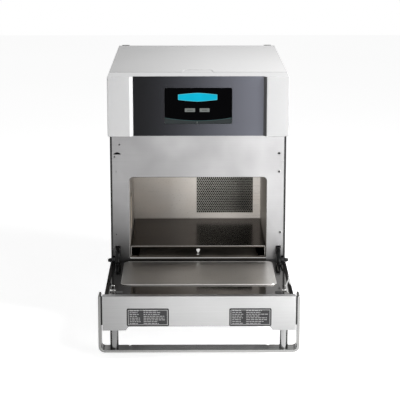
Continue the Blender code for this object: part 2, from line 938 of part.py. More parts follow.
def make_hood():
    hood = block(
        "hood_bezel",
        (-HALF_HOOD, HALF_HOOD),
        (HOOD_FRONT, FACE_Y - GAP),
        (HOOD_BOTTOM, OVERALL_HEIGHT),
        PARTS,
    )
    bevel(hood, HOOD_EDGE)
    past = (HOOD_BOTTOM - OVERRUN, OVERALL_HEIGHT + OVERRUN)
    recess = channel(
        "hood_recess",
        HALF_RECESS,
        FASCIA_SLOPE,
        HOOD_FRONT,
        FASCIA_DEPTH,
        past,
    )
    seat = block(
        "hood_fascia_seat",
        (-HALF_FASCIA - GAP, HALF_FASCIA + GAP),
        (HOOD_FRONT + FASCIA_DEPTH / 2, FASCIA_BACK + GAP),
        past,
    )
    inside_z = (HOOD_BOTTOM + HOOD_WALL, OVERALL_HEIGHT - HOOD_WALL)
    inside = block(
        "hood_inside",
        (-HALF_HOOD + HOOD_WALL, HALF_HOOD - HOOD_WALL),
        (HOOD_INSIDE, FACE_Y + OVERRUN),
        inside_z,
    )
    window = block(
        "hood_window",
        (-DISPLAY_WIDTH / 2 + HOOD_WALL, DISPLAY_WIDTH / 2 - HOOD_WALL),
        (FASCIA_FRONT, HOOD_INSIDE + OVERRUN),
        (DISPLAY_BOTTOM + HOOD_WALL, DISPLAY_BOTTOM + DISPLAY_HEIGHT - HOOD_WALL),
    )
    cut(hood, recess, seat, inside, window)
    for name, side in SIDES:
        band = block(
            f"hood_band_inside_{name}",
            sided(side, HALF_RECESS + HOOD_WALL, HALF_HOOD - HOOD_WALL),
            (HOOD_FRONT + HOOD_WALL, HOOD_INSIDE + OVERRUN),
            inside_z,
        )
        cut(hood, band)
    return painted(hood)


def display_outline(grow):
    return rounded(
        (-DISPLAY_WIDTH / 2 - grow, DISPLAY_WIDTH / 2 + grow),
        (DISPLAY_BOTTOM - grow, DISPLAY_BOTTOM + DISPLAY_HEIGHT + grow),
        DISPLAY_CORNER,
    )


def make_fascia():
    fascia = block(
        "control_fascia",
        (-HALF_FASCIA, HALF_FASCIA),
        (FASCIA_FRONT, FASCIA_BACK),
        (HOOD_BOTTOM + GAP, OVERALL_HEIGHT - GAP),
        PARTS,
    )
    window = prism(
        "fascia_window",
        display_outline(0),
        "Y",
        (FASCIA_FRONT - OVERRUN, FASCIA_BACK + OVERRUN),
    )
    black_gloss(cut(fascia, window))
    glass = prism(
        "display_glass",
        display_outline(-GAP),
        "Y",
        (FASCIA_FRONT + DISPLAY_SINK, FASCIA_BACK),
        PARTS,
    )
    black_gloss(glass)


def make_control_board():
    middle = DISPLAY_BOTTOM + DISPLAY_HEIGHT / 2
    front = HOOD_INSIDE + GAP + STANDOFF
    x = (-BOARD_WIDTH / 2, BOARD_WIDTH / 2)
    z = (middle - BOARD_HEIGHT / 2, middle + BOARD_HEIGHT / 2)
    board = block("control_board", x, (front, front + BOARD_THICKNESS), z, PARTS)
    extras = []
    for i, across in enumerate((x[0] + STANDOFF_INSET, x[1] - STANDOFF_INSET)):
        for j, up in enumerate((z[0] + STANDOFF_INSET, z[1] - STANDOFF_INSET)):
            extras.append(
                rod(
                    f"standoff_{i}_{j}",
                    "Y",
                    (across, front - STANDOFF, up),
                    STANDOFF_RADIUS,
                    STANDOFF + BOARD_THICKNESS / 2,
                    sides=10,
                )
            )
    chip = (BOARD_WIDTH / 6, BOARD_HEIGHT / 5)
    for i, across in enumerate(grid(*x, 3)):
        extras.append(
            block(
                f"board_chip_{i}",
                (across - chip[0] / 2, across + chip[0] / 2),
                (front + BOARD_THICKNESS / 2, front + BOARD_THICKNESS + CHIP_HEIGHT),
                (middle - chip[1] / 2, middle + chip[1] / 2),
            )
        )
    combine_all(board, "board_extras", extras, "UNION")
    return board_green(board)


# Cavity


def screen_span(margin):
    """The x and z spans of the return air window, drawn in by a margin."""
    return (
        (SCREEN_OFFSET - SCREEN_WIDTH / 2 + margin, SCREEN_OFFSET + SCREEN_WIDTH / 2 - margin),
        (SCREEN_BOTTOM + margin, SCREEN_TOP - margin),
    )


def outlet_span(margin):
    """The x and z spans of the blower's outlet, drawn in by a margin."""
    return (
        (BLOWER_X - OUTLET_WIDTH / 2 + margin, BLOWER_X + OUTLET_WIDTH / 2 - margin),
        (OUTLET_TOP - OUTLET_HEIGHT + margin, OUTLET_TOP - margin),
    )


def port_span(margin):
    """The y and z spans of the microwave port in the left wall, drawn in by a margin."""
    front = FACE_Y + GUIDE_START + PORT_SETBACK
    middle = GUIDE_BOTTOM + GUIDE_HEIGHT / 2
    return (
        (front + margin, front + PORT_LENGTH - margin),
        (middle - PORT_HEIGHT / 2 + margin, middle + PORT_HEIGHT / 2 - margin),
    )


def make_cavity():
    half = HALF_CAVITY + SHEET
    cavity = block(
        "cook_cavity",
        (-half, half),
        (FACE_Y + SHEET + GAP, CAVITY_OUTSIDE_BACK),
        (CAVITY_FLOOR - SHEET, CAVITY_TOP + SHEET),
        PARTS,
    )
    inside = block(
        "cavity_inside",
        (-HALF_CAVITY, HALF_CAVITY),
        (FACE_Y - OVERRUN, CAVITY_BACK),
        (CAVITY_FLOOR, CAVITY_TOP),
    )
    cut(cavity, inside)
    for name, side in SIDES:
        rail = block(
            f"cavity_rail_{name}",
            sided(side, HALF_CAVITY - RAIL_SIZE, HALF_CAVITY + SHEET / 2),
            (FACE_Y + RAIL_FRONT, CAVITY_BACK - RAIL_FRONT),
            (RAIL_TOP - RAIL_SIZE, RAIL_TOP),
        )
        join(cavity, rail)
    past = (CAVITY_BACK - OVERRUN, CAVITY_OUTSIDE_BACK + OVERRUN)
    x, z = screen_span(0)
    window = block("cavity_return_window", x, past, z)
    x, z = outlet_span(SHEET)
    outlet = block("cavity_outlet_window", x, past, z)
    wall = sided(-1, HALF_CAVITY - OVERRUN, HALF_CAVITY + SHEET + OVERRUN)
    port = block("cavity_port", wall, *port_span(0))
    return stainless(cut(cavity, window, outlet, port))


def make_insulation():
    inner = HALF_CAVITY + SHEET + GAP
    low, high = CAVITY_FLOOR - SHEET - GAP, CAVITY_TOP + SHEET + GAP
    y = (FACE_Y + INSULATION_FRONT, CAVITY_OUTSIDE_BACK)
    blanket = block(
        "cavity_insulation",
        (-inner - INSULATION, inner + INSULATION),
        y,
        (low - INSULATION, high + INSULATION),
        PARTS,
    )
    hole = block(
        "insulation_inside", (-inner, inner), (y[0] - OVERRUN, y[1] + OVERRUN), (low, high)
    )
    guide = block(
        "insulation_guide_hole",
        sided(-1, inner - OVERRUN, inner + INSULATION + OVERRUN),
        (FACE_Y + GUIDE_START - GAP, y[1] + OVERRUN),
        (GUIDE_BOTTOM - GAP, GUIDE_BOTTOM + GUIDE_HEIGHT + GAP),
    )
    return wool(cut(blanket, hole, guide))


def make_return_screen():
    x, z = screen_span(GAP)
    screen = block(
        "return_air_screen", x, (CAVITY_BACK, CAVITY_BACK + SCREEN_THICKNESS), z, PARTS
    )
    pitch = ((x[1] - x[0]) / SCREEN_COLUMNS, (z[1] - z[0]) / SCREEN_ROWS)
    holes = []
    for j, up in enumerate(grid(*z, SCREEN_ROWS)):
        count = SCREEN_COLUMNS - j % 2
        shift = pitch[0] / 2 * (j % 2)
        for i, across in enumerate(grid(x[0] + shift, x[1] - shift, count)):
            holes.append(
                rod(
                    f"screen_hole_{i}_{j}",
                    "Y",
                    (across, CAVITY_BACK - OVERRUN, up),
                    min(pitch) * SCREEN_HOLE_SHARE / 2,
                    SCREEN_THICKNESS + 2 * OVERRUN,
                    sides=6,
                )
            )
    combine_all(screen, "screen_holes", holes, "DIFFERENCE")
    return stainless(screen)


def make_upper_jetplate():
    half = HALF_CAVITY - UPPER_PLATE_MARGIN
    x = (-half, half)
    y = (FACE_Y + RAIL_FRONT, CAVITY_BACK - UPPER_PLATE_MARGIN)
    low = RAIL_TOP + GAP
    plate = block("upper_jetplate", x, y, (low, low + UPPER_PLATE_THICKNESS), PARTS)
    jets = []
    for i, across in enumerate(grid(*x, JET_COLUMNS)):
        for j, along in enumerate(grid(*y, JET_ROWS)):
            jets.append(
                rod(
                    f"upper_jet_{i}_{j}",
                    "Z",
                    (across, along, low - OVERRUN),
                    JET_RADIUS,
                    UPPER_PLATE_THICKNESS + 2 * OVERRUN,
                    sides=8,
                )
            )
    combine_all(plate, "upper_jets", jets, "DIFFERENCE")
    return stainless(plate)


def make_lower_jetplate():
    """A bench over the cavity floor, with legs, runners and a front lip. It slides out."""
    half = TRAY_WIDTH / 2
    front = FACE_Y + TRAY_SETBACK
    y = (front, CAVITY_BACK - UPPER_PLATE_MARGIN)
    foot = CAVITY_FLOOR + GAP
    tray = block("lower_jetplate", (-half, half), y, (foot, TRAY_TOP), PARTS)
    under = block(
        "tray_under",
        (-half + TRAY_THICKNESS, half - TRAY_THICKNESS),
        (y[0] - OVERRUN, y[1] + OVERRUN),
        (foot + TRAY_THICKNESS, TRAY_TOP - TRAY_THICKNESS),
    )
    middle = block(
        "tray_between_runners",
        (-half + TRAY_RUNNER, half - TRAY_RUNNER),
        (y[0] - OVERRUN, y[1] + OVERRUN),
        (foot - OVERRUN, foot + TRAY_THICKNESS + OVERRUN),
    )
    curls = [
        block(
            f"tray_curl_{name}",
            sided(side, half - TRAY_RUNNER - TRAY_THICKNESS, half - TRAY_RUNNER),
            y,
            (foot, foot + TRAY_CURL),
        )
        for name, side in SIDES
    ]
    lip = block(
        "tray_lip",
        (-half, half),
        (front, front + TRAY_THICKNESS),
        (TRAY_TOP - TRAY_LIP, TRAY_TOP - TRAY_THICKNESS / 2),
    )
    cut(tray, under, middle)
    join(tray, lip, *curls)
    bronzed(tray)
    bottom = CAVITY_FLOOR + CLIP_BOTTOM
    neck = TRAY_TOP - TRAY_LIP - GAP
    outline = [
        (-CLIP_STEM / 2, neck),
        (-CLIP_STEM / 2, bottom + CLIP_HEIGHT),
        (-CLIP_WIDTH / 2, bottom + CLIP_HEIGHT),
        (-CLIP_WIDTH / 2, bottom + CLIP_HEIGHT / 2),
        (0, bottom),
        (CLIP_WIDTH / 2, bottom + CLIP_HEIGHT / 2),
        (CLIP_WIDTH / 2, bottom + CLIP_HEIGHT),
        (CLIP_STEM / 2, bottom + CLIP_HEIGHT),
        (CLIP_STEM / 2, neck),
    ]
    clip = prism("jetplate_clip", outline, "Y", (front, front + CLIP_THICKNESS), PARTS)
    white_plastic(clip)
    slide = axis_empty("jetplate_slide", (0, front, TRAY_TOP))
    carry(slide, tray, clip)


# Blower and its heater


def make_converter():
    x, z = screen_span(CONVERTER_MARGIN)
    y = (CAVITY_OUTSIDE_BACK + GAP, CAVITY_OUTSIDE_BACK + GAP + CONVERTER_THICKNESS)
    converter = block("catalytic_converter", x, y, z, PARTS)
    width = (x[1] - x[0] - CONVERTER_WALL) / CONVERTER_COLUMNS
    height = (z[1] - z[0] - CONVERTER_WALL) / CONVERTER_ROWS
    cells = []
    for i in range(CONVERTER_COLUMNS):
        for j in range(CONVERTER_ROWS):
            left = x[0] + CONVERTER_WALL + i * width
            low = z[0] + CONVERTER_WALL + j * height
            cells.append(
                block(
                    f"converter_cell_{i}_{j}",
                    (left, left + width - CONVERTER_WALL),
                    (y[0] - OVERRUN, y[1] + OVERRUN),
                    (low, low + height - CONVERTER_WALL),
                )
            )
    combine_all(converter, "converter_cells", cells, "DIFFERENCE")
    return ceramic(converter)


def make_blower_housing():
    centre = (BLOWER_X, DRUM_FRONT, BLOWER_HEIGHT)
    drum = rod("blower_housing", "Y", centre, DRUM_RADIUS, DRUM_DEPTH, PARTS, sides=32)
    x, z = outlet_span(0)
    riser = block("outlet_riser", x, (DRUM_FRONT, DRUM_BACK), (BLOWER_HEIGHT, z[1]))
    collar = block(
        "outlet_collar", x, (CAVITY_OUTSIDE_BACK + GAP, DRUM_FRONT + DRUM_DEPTH / 2), z
    )
    join(drum, riser, collar)
    inside = rod(
        "drum_inside",
        "Y",
        (BLOWER_X, DRUM_FRONT + SHEET, BLOWER_HEIGHT),
        DRUM_RADIUS - SHEET,
        DRUM_DEPTH - 2 * SHEET,
        sides=32,
    )
    inlet = rod(
        "drum_inlet",
        "Y",
        (BLOWER_X, DRUM_FRONT - OVERRUN, BLOWER_HEIGHT),
        INLET_RADIUS,
        SHEET + 2 * OVERRUN,
    )
    bore = rod(
        "drum_shaft_hole",
        "Y",
        (BLOWER_X, DRUM_BACK - SHEET - OVERRUN, BLOWER_HEIGHT),
        SHAFT_RADIUS + RUNNING_GAP,
        SHEET + 2 * OVERRUN,
    )
    x, z = outlet_span(SHEET)
    duct = block(
        "riser_inside", x, (DRUM_FRONT + SHEET, DRUM_BACK - SHEET), (BLOWER_HEIGHT, z[1])
    )
    outlet = block(
        "outlet_inside",
        x,
        (CAVITY_OUTSIDE_BACK - OVERRUN, DRUM_FRONT + DRUM_DEPTH / 2),
        z,
    )
    cut(drum, inside, duct, outlet, inlet, bore)
    for i, (across, up) in enumerate(heater_ends()):
        hole = rod(
            f"drum_heater_hole_{i}",
            "Y",
            (across, DRUM_BACK - SHEET - OVERRUN, up),
            HEATER_TUBE + GAP,
            SHEET + 2 * OVERRUN,
            sides=12,
        )
        cut(drum, hole)
    return galvanised(drum)


def heater_ends():
    """Where the heater's two legs leave the ring, as x and z."""
    for angle in (HEATER_OPEN, 2 * math.pi - HEATER_OPEN):
        yield (
            BLOWER_X + HEATER_RADIUS * math.cos(angle),
            BLOWER_HEIGHT + HEATER_RADIUS * math.sin(angle),
        )


def make_heater():
    y = DRUM_FRONT + SHEET + HEATER_SETBACK
    out = DRUM_BACK + HEATER_SETBACK
    first, last = heater_ends()
    ring = arc(
        (BLOWER_X, BLOWER_HEIGHT), HEATER_RADIUS, HEATER_OPEN, 2 * math.pi - HEATER_OPEN, 28
    )
    path = [(first[0], out, first[1])]
    path += [(across, y, up) for across, up in ring]
    path += [(last[0], out, last[1])]
    return dark_steel(tube("heater_element", path, HEATER_TUBE))


def make_blower_wheel():
    """The wheel and its shaft. Its origin is on the shaft's axis."""
    back = DRUM_BACK - SHEET - WHEEL_BACK_GAP
    front = back - WHEEL_DEPTH
    wheel = rod(
        "blower_wheel",
        "Y",
        (BLOWER_X, back - WHEEL_DISC, BLOWER_HEIGHT),
        WHEEL_RADIUS,
        WHEEL_DISC,
        PARTS,
        sides=28,
    )
    ring = rod(
        "wheel_ring",
        "Y",
        (BLOWER_X, front, BLOWER_HEIGHT),
        WHEEL_RADIUS,
        WHEEL_DISC,
        sides=28,
    )
    eye = rod(
        "wheel_eye",
        "Y",
        (BLOWER_X, front - OVERRUN, BLOWER_HEIGHT),
        WHEEL_RADIUS - WHEEL_RIM,
        WHEEL_DISC + 2 * OVERRUN,
        sides=28,
    )
    cut(ring, eye)
    blades = []
    middle = WHEEL_RADIUS - WHEEL_RIM / 2
    for i in range(WHEEL_BLADES):
        angle = 2 * math.pi * i / WHEEL_BLADES
        blade = block(
            f"wheel_blade_{i}",
            (-WHEEL_RIM / 2 + GAP, WHEEL_RIM / 2 - GAP),
            (front + WHEEL_DISC / 2, back - WHEEL_DISC / 2),
            (-BLADE_THICKNESS / 2, BLADE_THICKNESS / 2),
        )
        blade.location.x = BLOWER_X + middle * math.cos(angle)
        blade.location.z = BLOWER_HEIGHT + middle * math.sin(angle)
        blade.rotation_euler.y = -angle
        blades.append(blade)
    shaft = rod(
        "wheel_shaft",
        "Y",
        (BLOWER_X, back - WHEEL_DISC / 2, BLOWER_HEIGHT),
        SHAFT_RADIUS,
        DRUM_BACK + GAP + MOTOR_NECK - back,
        sides=16,
    )
    join(wheel, ring, shaft)
    combine_all(wheel, "wheel_blades", blades, "UNION")
    return galvanised(wheel)


def make_blower_motor():
    neck = DRUM_BACK + GAP
    motor = rod(
        "blower_motor",
        "Y",
        (BLOWER_X, neck + MOTOR_NECK, BLOWER_HEIGHT),
        MOTOR_RADIUS,
        MOTOR_DEPTH,
        PARTS,
        sides=24,
    )
    collar = rod(
        "motor_neck",
        "Y",
        (BLOWER_X, neck, BLOWER_HEIGHT),
        MOTOR_NECK_RADIUS,
        MOTOR_NECK + MOTOR_DEPTH / 2,
        sides=24,
    )
    join(motor, collar)
    bore = rod(
        "motor_bore",
        "Y",
        (BLOWER_X, neck - OVERRUN, BLOWER_HEIGHT),
        SHAFT_RADIUS + GAP,
        MOTOR_NECK + MOTOR_NECK,
        sides=16,
    )
    return dark_steel(cut(motor, bore))


# Microwave supply


def make_waveguide():
    """A duct along the left wall, from the magnetron behind the cavity to the port."""
    inner = HALF_CAVITY + SHEET + GAP
    outer = inner + GUIDE_THICKNESS
    y = (FACE_Y + GUIDE_START, FACE_Y + GUIDE_START + GUIDE_LENGTH)
    z = (GUIDE_BOTTOM, GUIDE_BOTTOM + GUIDE_HEIGHT)
    guide = block("waveguide", sided(-1, inner, outer), y, z, PARTS)
    inside = block(
        "guide_inside",
        sided(-1, inner + SHEET, outer - SHEET),
        (y[0] + SHEET, y[1] - SHEET),
        (z[0] + SHEET, z[1] - SHEET),
    )
    wall = sided(-1, inner - OVERRUN, inner + SHEET + OVERRUN)
    mouth = block("guide_mouth", wall, *port_span(0))
    hole = rod(
        "guide_antenna_hole",
        "X",
        (wall[0], magnetron_y(), sum(z) / 2),
        ANTENNA_RADIUS + GAP,
        wall[1] - wall[0],
        sides=16,
    )
    galvanised(cut(guide, inside, mouth, hole))
    face = HALF_CAVITY - GAP
    cover = block(
        "waveguide_cover",
        sided(-1, face - COVER_THICKNESS, face),
        *port_span(-COVER_MARGIN),
        PARTS,
    )
    ceramic(cover)


def magnetron_y():
    return FACE_Y + GUIDE_START + GUIDE_LENGTH - TUBE_DEPTH / 2


def make_magnetron():
    face = -HALF_CAVITY - SHEET
    middle = GUIDE_BOTTOM + GUIDE_HEIGHT / 2
    y = magnetron_y()
    magnetron = block(
        "magnetron",
        (face, face + TUBE_HEIGHT),
        (y - TUBE_DEPTH / 2, y + TUBE_DEPTH / 2),
        (middle - TUBE_WIDTH / 2, middle + TUBE_WIDTH / 2),
        PARTS,
    )
    antenna = rod(
        "magnetron_antenna",
        "X",
        (face - ANTENNA_LENGTH, y, middle),
        ANTENNA_RADIUS,
        ANTENNA_LENGTH + TUBE_HEIGHT / 2,
        sides=16,
    )
    fins = [antenna]
    reach = TUBE_WIDTH / 2 + FIN_PROUD
    for i, across in enumerate(grid(face, face + TUBE_HEIGHT, FIN_COUNT)):
        fins.append(
            block(
                f"magnetron_fin_{i}",
                (across - FIN_THICKNESS / 2, across + FIN_THICKNESS / 2),
                (y - TUBE_DEPTH / 3, y + TUBE_DEPTH / 3),
                (middle - reach, middle + reach),
            )
        )
    combine_all(magnetron, "magnetron_extras", fins, "UNION")
    return galvanised(magnetron)


def make_transformer():
    width, depth, height = CORE_SIZE
    y = SUPPLY_Y + COIL_GROWTH
    low = FLOOR_INSIDE + GAP
    core = block(
        "hv_transformer",
        (TRANSFORMER_OFFSET - width / 2, TRANSFORMER_OFFSET + width / 2),
        (y, y + depth),
        (low, low + height),
        PARTS,
    )
    coils = []
    for i, share in enumerate((COIL_SHARE, 1 - COIL_SHARE)):
        middle = low + height * share
        reach = height * COIL_SHARE / 2 - GAP
        coils.append(
            block(
                f"transformer_coil_{i}",
                (TRANSFORMER_OFFSET - width / 3, TRANSFORMER_OFFSET + width / 3),
                (y - COIL_GROWTH, y + depth + COIL_GROWTH),
                (middle - reach, middle + reach),
            )
        )
    combine_all(core, "transformer_coils", coils, "UNION")
    return dark_steel(core)


def make_capacitor():
    width, depth, height = CAN_SIZE
    y = SUPPLY_Y
    low = FLOOR_INSIDE + GAP
    outline = rounded(
        (CAPACITOR_OFFSET - width / 2, CAPACITOR_OFFSET + width / 2),
        (y, y + depth),
        CAN_CORNER,
    )
    can = prism("hv_capacitor", outline, "Z", (low, low + height), PARTS)
    terminals = [
        rod(
            f"capacitor_terminal_{i}",
            "Z",
            (CAPACITOR_OFFSET, y + depth * share, low + height / 2),
            TERMINAL_RADIUS,
            height / 2 + TERMINAL_HEIGHT,
            sides=12,
        )
        for i, share in enumerate(TERMINAL_SHARES)
    ]
    combine_all(can, "capacitor_terminals", terminals, "UNION")
    return galvanised(can)


# Cooling fan, filter and inlet at the back


def fan_y():
    """The front face of the fan frame, which stands on the rear panel."""
    return BACK_Y - SHEET - GAP - FAN_DEPTH


def make_fan_frame():
    half = FAN_SIZE / 2
    y = (fan_y(), fan_y() + FAN_DEPTH)
    frame = block(
        "cooling_fan_frame",
        (FAN_OFFSET - half, FAN_OFFSET + half),
        y,
        (FAN_HEIGHT - half, FAN_HEIGHT + half),
        PARTS,
    )
    bore = rod(
        "fan_bore",
        "Y",
        (FAN_OFFSET, y[0] - OVERRUN, FAN_HEIGHT),
        FAN_BORE,
        FAN_DEPTH + 2 * OVERRUN,
        sides=32,
    )
    cut(frame, bore)
    hub = rod(
        "fan_stator",
        "Y",
        (FAN_OFFSET, y[0], FAN_HEIGHT),
        FAN_HUB,
        STRUT_DEPTH,
    )
    struts = [hub]
    for i in range(STRUT_COUNT):
        strut = block(
            f"fan_strut_{i}",
            (FAN_OFFSET - FAN_BORE - OVERRUN, FAN_OFFSET + FAN_BORE + OVERRUN),
            (y[0], y[0] + STRUT_DEPTH),
            (FAN_HEIGHT - STRUT_WIDTH / 2, FAN_HEIGHT + STRUT_WIDTH / 2),
        )
        strut.rotation_euler.y = math.pi * (i + 0.5) / STRUT_COUNT
        struts.append(strut)
    combine_all(frame, "fan_struts", struts, "UNION")
    return dark_steel(frame)


def make_fan_rotor():
    """Hub and blades. Its origin is on the fan's axis."""
    start = fan_y() + STRUT_DEPTH + GAP
    depth = FAN_DEPTH - STRUT_DEPTH - GAP - 2 * RUNNING_GAP
    rotor = rod(
        "cooling_fan_rotor", "Y", (FAN_OFFSET, start, FAN_HEIGHT), FAN_HUB, depth, PARTS
    )
    blades = []
    reach = FAN_BORE - 2 * RUNNING_GAP
    middle = (FAN_HUB - RUNNING_GAP + reach) / 2
    length = reach - FAN_HUB + RUNNING_GAP
    for i in range(FAN_BLADES):
        angle = 2 * math.pi * i / FAN_BLADES
        blade = block(
            f"fan_blade_{i}",
            (-length / 2, length / 2),
            (-FAN_BLADE_DEPTH / 2, FAN_BLADE_DEPTH / 2),
            (-FAN_BLADE_THICKNESS / 2, FAN_BLADE_THICKNESS / 2),
        )
        turn = Matrix.Rotation(-angle, 4, "Y") @ Matrix.Rotation(FAN_BLADE_TWIST, 4, "X")
        blade.matrix_world = Matrix.Translation(
            (
                FAN_OFFSET + middle * math.cos(angle),
                start + depth / 2,
                FAN_HEIGHT + middle * math.sin(angle),
            )
        ) @ turn
        blades.append(blade)
    combine_all(rotor, "fan_blades", blades, "UNION")
    return dark_steel(rotor)


def make_filter():
    """A framed mesh that lifts out of its rails."""
    x = (FILTER_OFFSET - FILTER_WIDTH / 2, FILTER_OFFSET + FILTER_WIDTH / 2)
    y = (BACK_Y + GAP, BACK_Y + GAP + FILTER_THICKNESS)
    z = (FILTER_BOTTOM, FILTER_BOTTOM + FILTER_HEIGHT)
    frame = block("air_filter", x, y, z, PARTS)
    inner = [(low + FILTER_BORDER, high - FILTER_BORDER) for low, high in (x, z)]
    width = (inner[0][1] - inner[0][0]) / FILTER_COLUMNS
    height = (inner[1][1] - inner[1][0]) / FILTER_ROWS
    holes = []
    for i, across in enumerate(grid(*inner[0], FILTER_COLUMNS)):
        for j, up in enumerate(grid(*inner[1], FILTER_ROWS)):
            half = (width * FILTER_HOLE_SHARE / 2, height * FILTER_HOLE_SHARE / 2)
            holes.append(
                block(
                    f"filter_hole_{i}_{j}",
                    (across - half[0], across + half[0]),
                    (y[0] - OVERRUN, y[1] + OVERRUN),
                    (up - half[1], up + half[1]),
                )
            )
    combine_all(frame, "filter_holes", holes, "DIFFERENCE")
    slide = axis_empty("filter_slide", (FILTER_OFFSET, y[0], FILTER_BOTTOM))
    carry(slide, frame)
    return dark_steel(frame)


def make_gland():
    """A cable gland with an open bore, on the rear panel."""
    profile = [
        (GLAND_BORE, GLAND_PROUD),
        (GLAND_NECK - GLAND_FLANGE / 2, GLAND_PROUD),
        (GLAND_NECK, GLAND_PROUD - GLAND_FLANGE),
        (GLAND_NECK, GLAND_FLANGE + GAP),
        (GLAND_RADIUS, GLAND_FLANGE + GAP),
        (GLAND_RADIUS, GAP),
        (GLAND_NECK, GAP),
        (GLAND_NECK, -SHEET - GLAND_FLANGE),
        (GLAND_BORE, -SHEET - GLAND_FLANGE),
        (GLAND_BORE, GLAND_PROUD),
    ]
    gland = turned("power_inlet_gland", profile)
    gland.location = (GLAND_OFFSET, BACK_Y, GLAND_HEIGHT)
    gland.rotation_euler.x = -math.pi / 2
    return rubber(gland)


# Hinges, arms and latches


def bracket_inside():
    """How far from the middle the hinge bracket's inner face stands."""
    return ear_inside() - RUNNING_GAP - BRACKET_THICKNESS


def ear_inside():
    """How far from the middle the door ear's inner face stands."""
    return HALF_BODY - SHEET - GAP - EAR_THICKNESS


def make_hinge_brackets():
    for name, side in SIDES:
        radius = NOSE_RADIUS - RUNNING_GAP
        back = HINGE_Y + BRACKET_LENGTH
        outline = arc((HINGE_Y, HINGE_HEIGHT), radius, math.pi / 2, 3 * math.pi / 2)
        outline += [(back, HINGE_HEIGHT - radius), (back, HINGE_HEIGHT + radius)]
        inner = bracket_inside()
        bracket = prism(
            f"hinge_bracket_{name}",
            outline,
            "X",
            sided(side, inner, inner + BRACKET_THICKNESS),
            PARTS,
        )
        seat = block(
            f"hinge_seat_{name}",
            sided(side, inner + BRACKET_THICKNESS / 2, HALF_BODY - SHEET - GAP),
            (HINGE_Y + BRACKET_SEAT_START, back),
            (HINGE_HEIGHT - radius, HINGE_HEIGHT + radius),
        )
        join(bracket, seat)
        hole = rod(
            f"hinge_bore_{name}",
            "X",
            (sided(side, inner - OVERRUN, HALF_BODY)[0], HINGE_Y, HINGE_HEIGHT),
            PIN_RADIUS + GAP,
            HALF_BODY - inner + OVERRUN,
            sides=16,
        )
        cut(bracket, hole)
        dark_steel(bracket)


def make_hinge_pins():
    for name, side in SIDES:
        inner = bracket_inside()
        seat = HALF_BODY + GAP
        span = sided(side, inner, seat + PIN_HEAD / 2)
        pin = rod(
            f"hinge_pin_{name}",
            "X",
            (span[0], HINGE_Y, HINGE_HEIGHT),
            PIN_RADIUS,
            span[1] - span[0],
            PARTS,
            sides=16,
        )
        span = sided(side, seat, seat + PIN_HEAD)
        ends = [PIN_HEAD_RADIUS, PIN_HEAD_RADIUS * PIN_TIP_SHARE][::side]
        head = rod(
            f"pin_head_{name}",
            "X",
            (span[0], HINGE_Y, HINGE_HEIGHT),
            ends[0],
            PIN_HEAD,
            sides=16,
            tip=ends[1],
        )
        dark_steel(join(pin, head))


def door_profile(points):
    """Turns distances along and above the open door into y and z."""
    return [(along_door(along), HINGE_HEIGHT + above) for along, above in points]


def make_door_ears():
    ears = []
    for name, side in SIDES:
        top = DOOR_PAN_DROP + SHEET + GAP
        meet = math.asin(top / NOSE_RADIUS)
        outline = arc((0, 0), NOSE_RADIUS, 3 * math.pi / 2, -meet, 14)
        outline += [(EAR_LENGTH, -top), (EAR_LENGTH, -EAR_DEPTH)]
        inner = ear_inside()
        ear = prism(
            f"door_hinge_ear_{name}",
            door_profile(outline),
            "X",
            sided(side, inner, inner + EAR_THICKNESS),
            PARTS,
        )
        bore = rod(
            f"ear_bore_{name}",
            "X",
            (sided(side, inner - OVERRUN, HALF_BODY)[0], HINGE_Y, HINGE_HEIGHT),
            PIN_RADIUS + GAP,
            HALF_BODY - inner + OVERRUN,
            sides=16,
        )
        ears.append(dark_steel(cut(ear, bore)))
    return ears


def make_hinge_arms():
    """Curved arms about the hinge axis. They slide through the frame's slots."""
    arms = []
    outer, inner = ARM_RADIUS + ARM_WIDTH / 2, ARM_RADIUS - ARM_WIDTH / 2
    top = DOOR_PAN_DROP + SHEET + GAP
    low_outer = -math.asin(top / outer)
    low_inner = -math.asin(top / inner)
    outline = [
        (ARM_FOOT_START, -top),
        (ARM_FOOT_START, -top - ARM_FOOT_DEPTH),
        (ARM_FOOT_END, -top - ARM_FOOT_DEPTH),
        (ARM_FOOT_END, -top),
    ]
    outline += arc((0, 0), outer, low_outer, ARM_SWEEP, 14)
    outline += arc((0, 0), inner, ARM_SWEEP, low_inner, 14)
    for name, side in SIDES:
        half = ARM_THICKNESS / 2
        arm = prism(
            f"hinge_arm_{name}",
            door_profile(outline),
            "X",
            sided(side, ARM_OFFSET - half, ARM_OFFSET + half),
            PARTS,
        )
        arms.append(dark_steel(arm))
    return arms


def make_latch_hooks():
    """A wide staple and a narrow finger that stand on the door's pan."""
    hooks = []
    foot = HINGE_HEIGHT - DOOR_PAN_DROP + GAP
    top = HINGE_HEIGHT + HOOK_HEIGHT
    reach = door_span(HOOK_REACH - HOOK_THICKNESS / 2, HOOK_REACH + HOOK_THICKNESS / 2)
    for name, side in SIDES:
        wide = name == WIDE_HOOK_SIDE
        half = (WIDE_HOOK if wide else NARROW_HOOK) / 2
        middle = side * HOOK_OFFSET
        outline = [
            (middle - half, foot),
            (middle + half, foot),
            (middle + half, top - HOOK_CHAMFER),
            (middle + half - HOOK_CHAMFER, top),
            (middle - half + HOOK_CHAMFER, top),
            (middle - half, top - HOOK_CHAMFER),
        ]
        hook = prism(f"latch_hook_{name}", outline, "Y", reach, PARTS)
        if wide:
            window = block(
                f"latch_window_{name}",
                (middle - half + HOOK_BAR, middle + half - HOOK_BAR),
                (reach[0] - OVERRUN, reach[1] + OVERRUN),
                (foot + SHEET, top - HOOK_BAR),
            )
            cut(hook, window)
        base = block(
            f"latch_base_{name}",
            (middle - HOOK_BASE / 2, middle + HOOK_BASE / 2),
            door_span(HOOK_REACH - HOOK_BASE / 2, HOOK_REACH + HOOK_BASE / 2),
            (foot, foot + SHEET),
        )
        hooks.append(stainless(join(hook, base)))
    return hooks


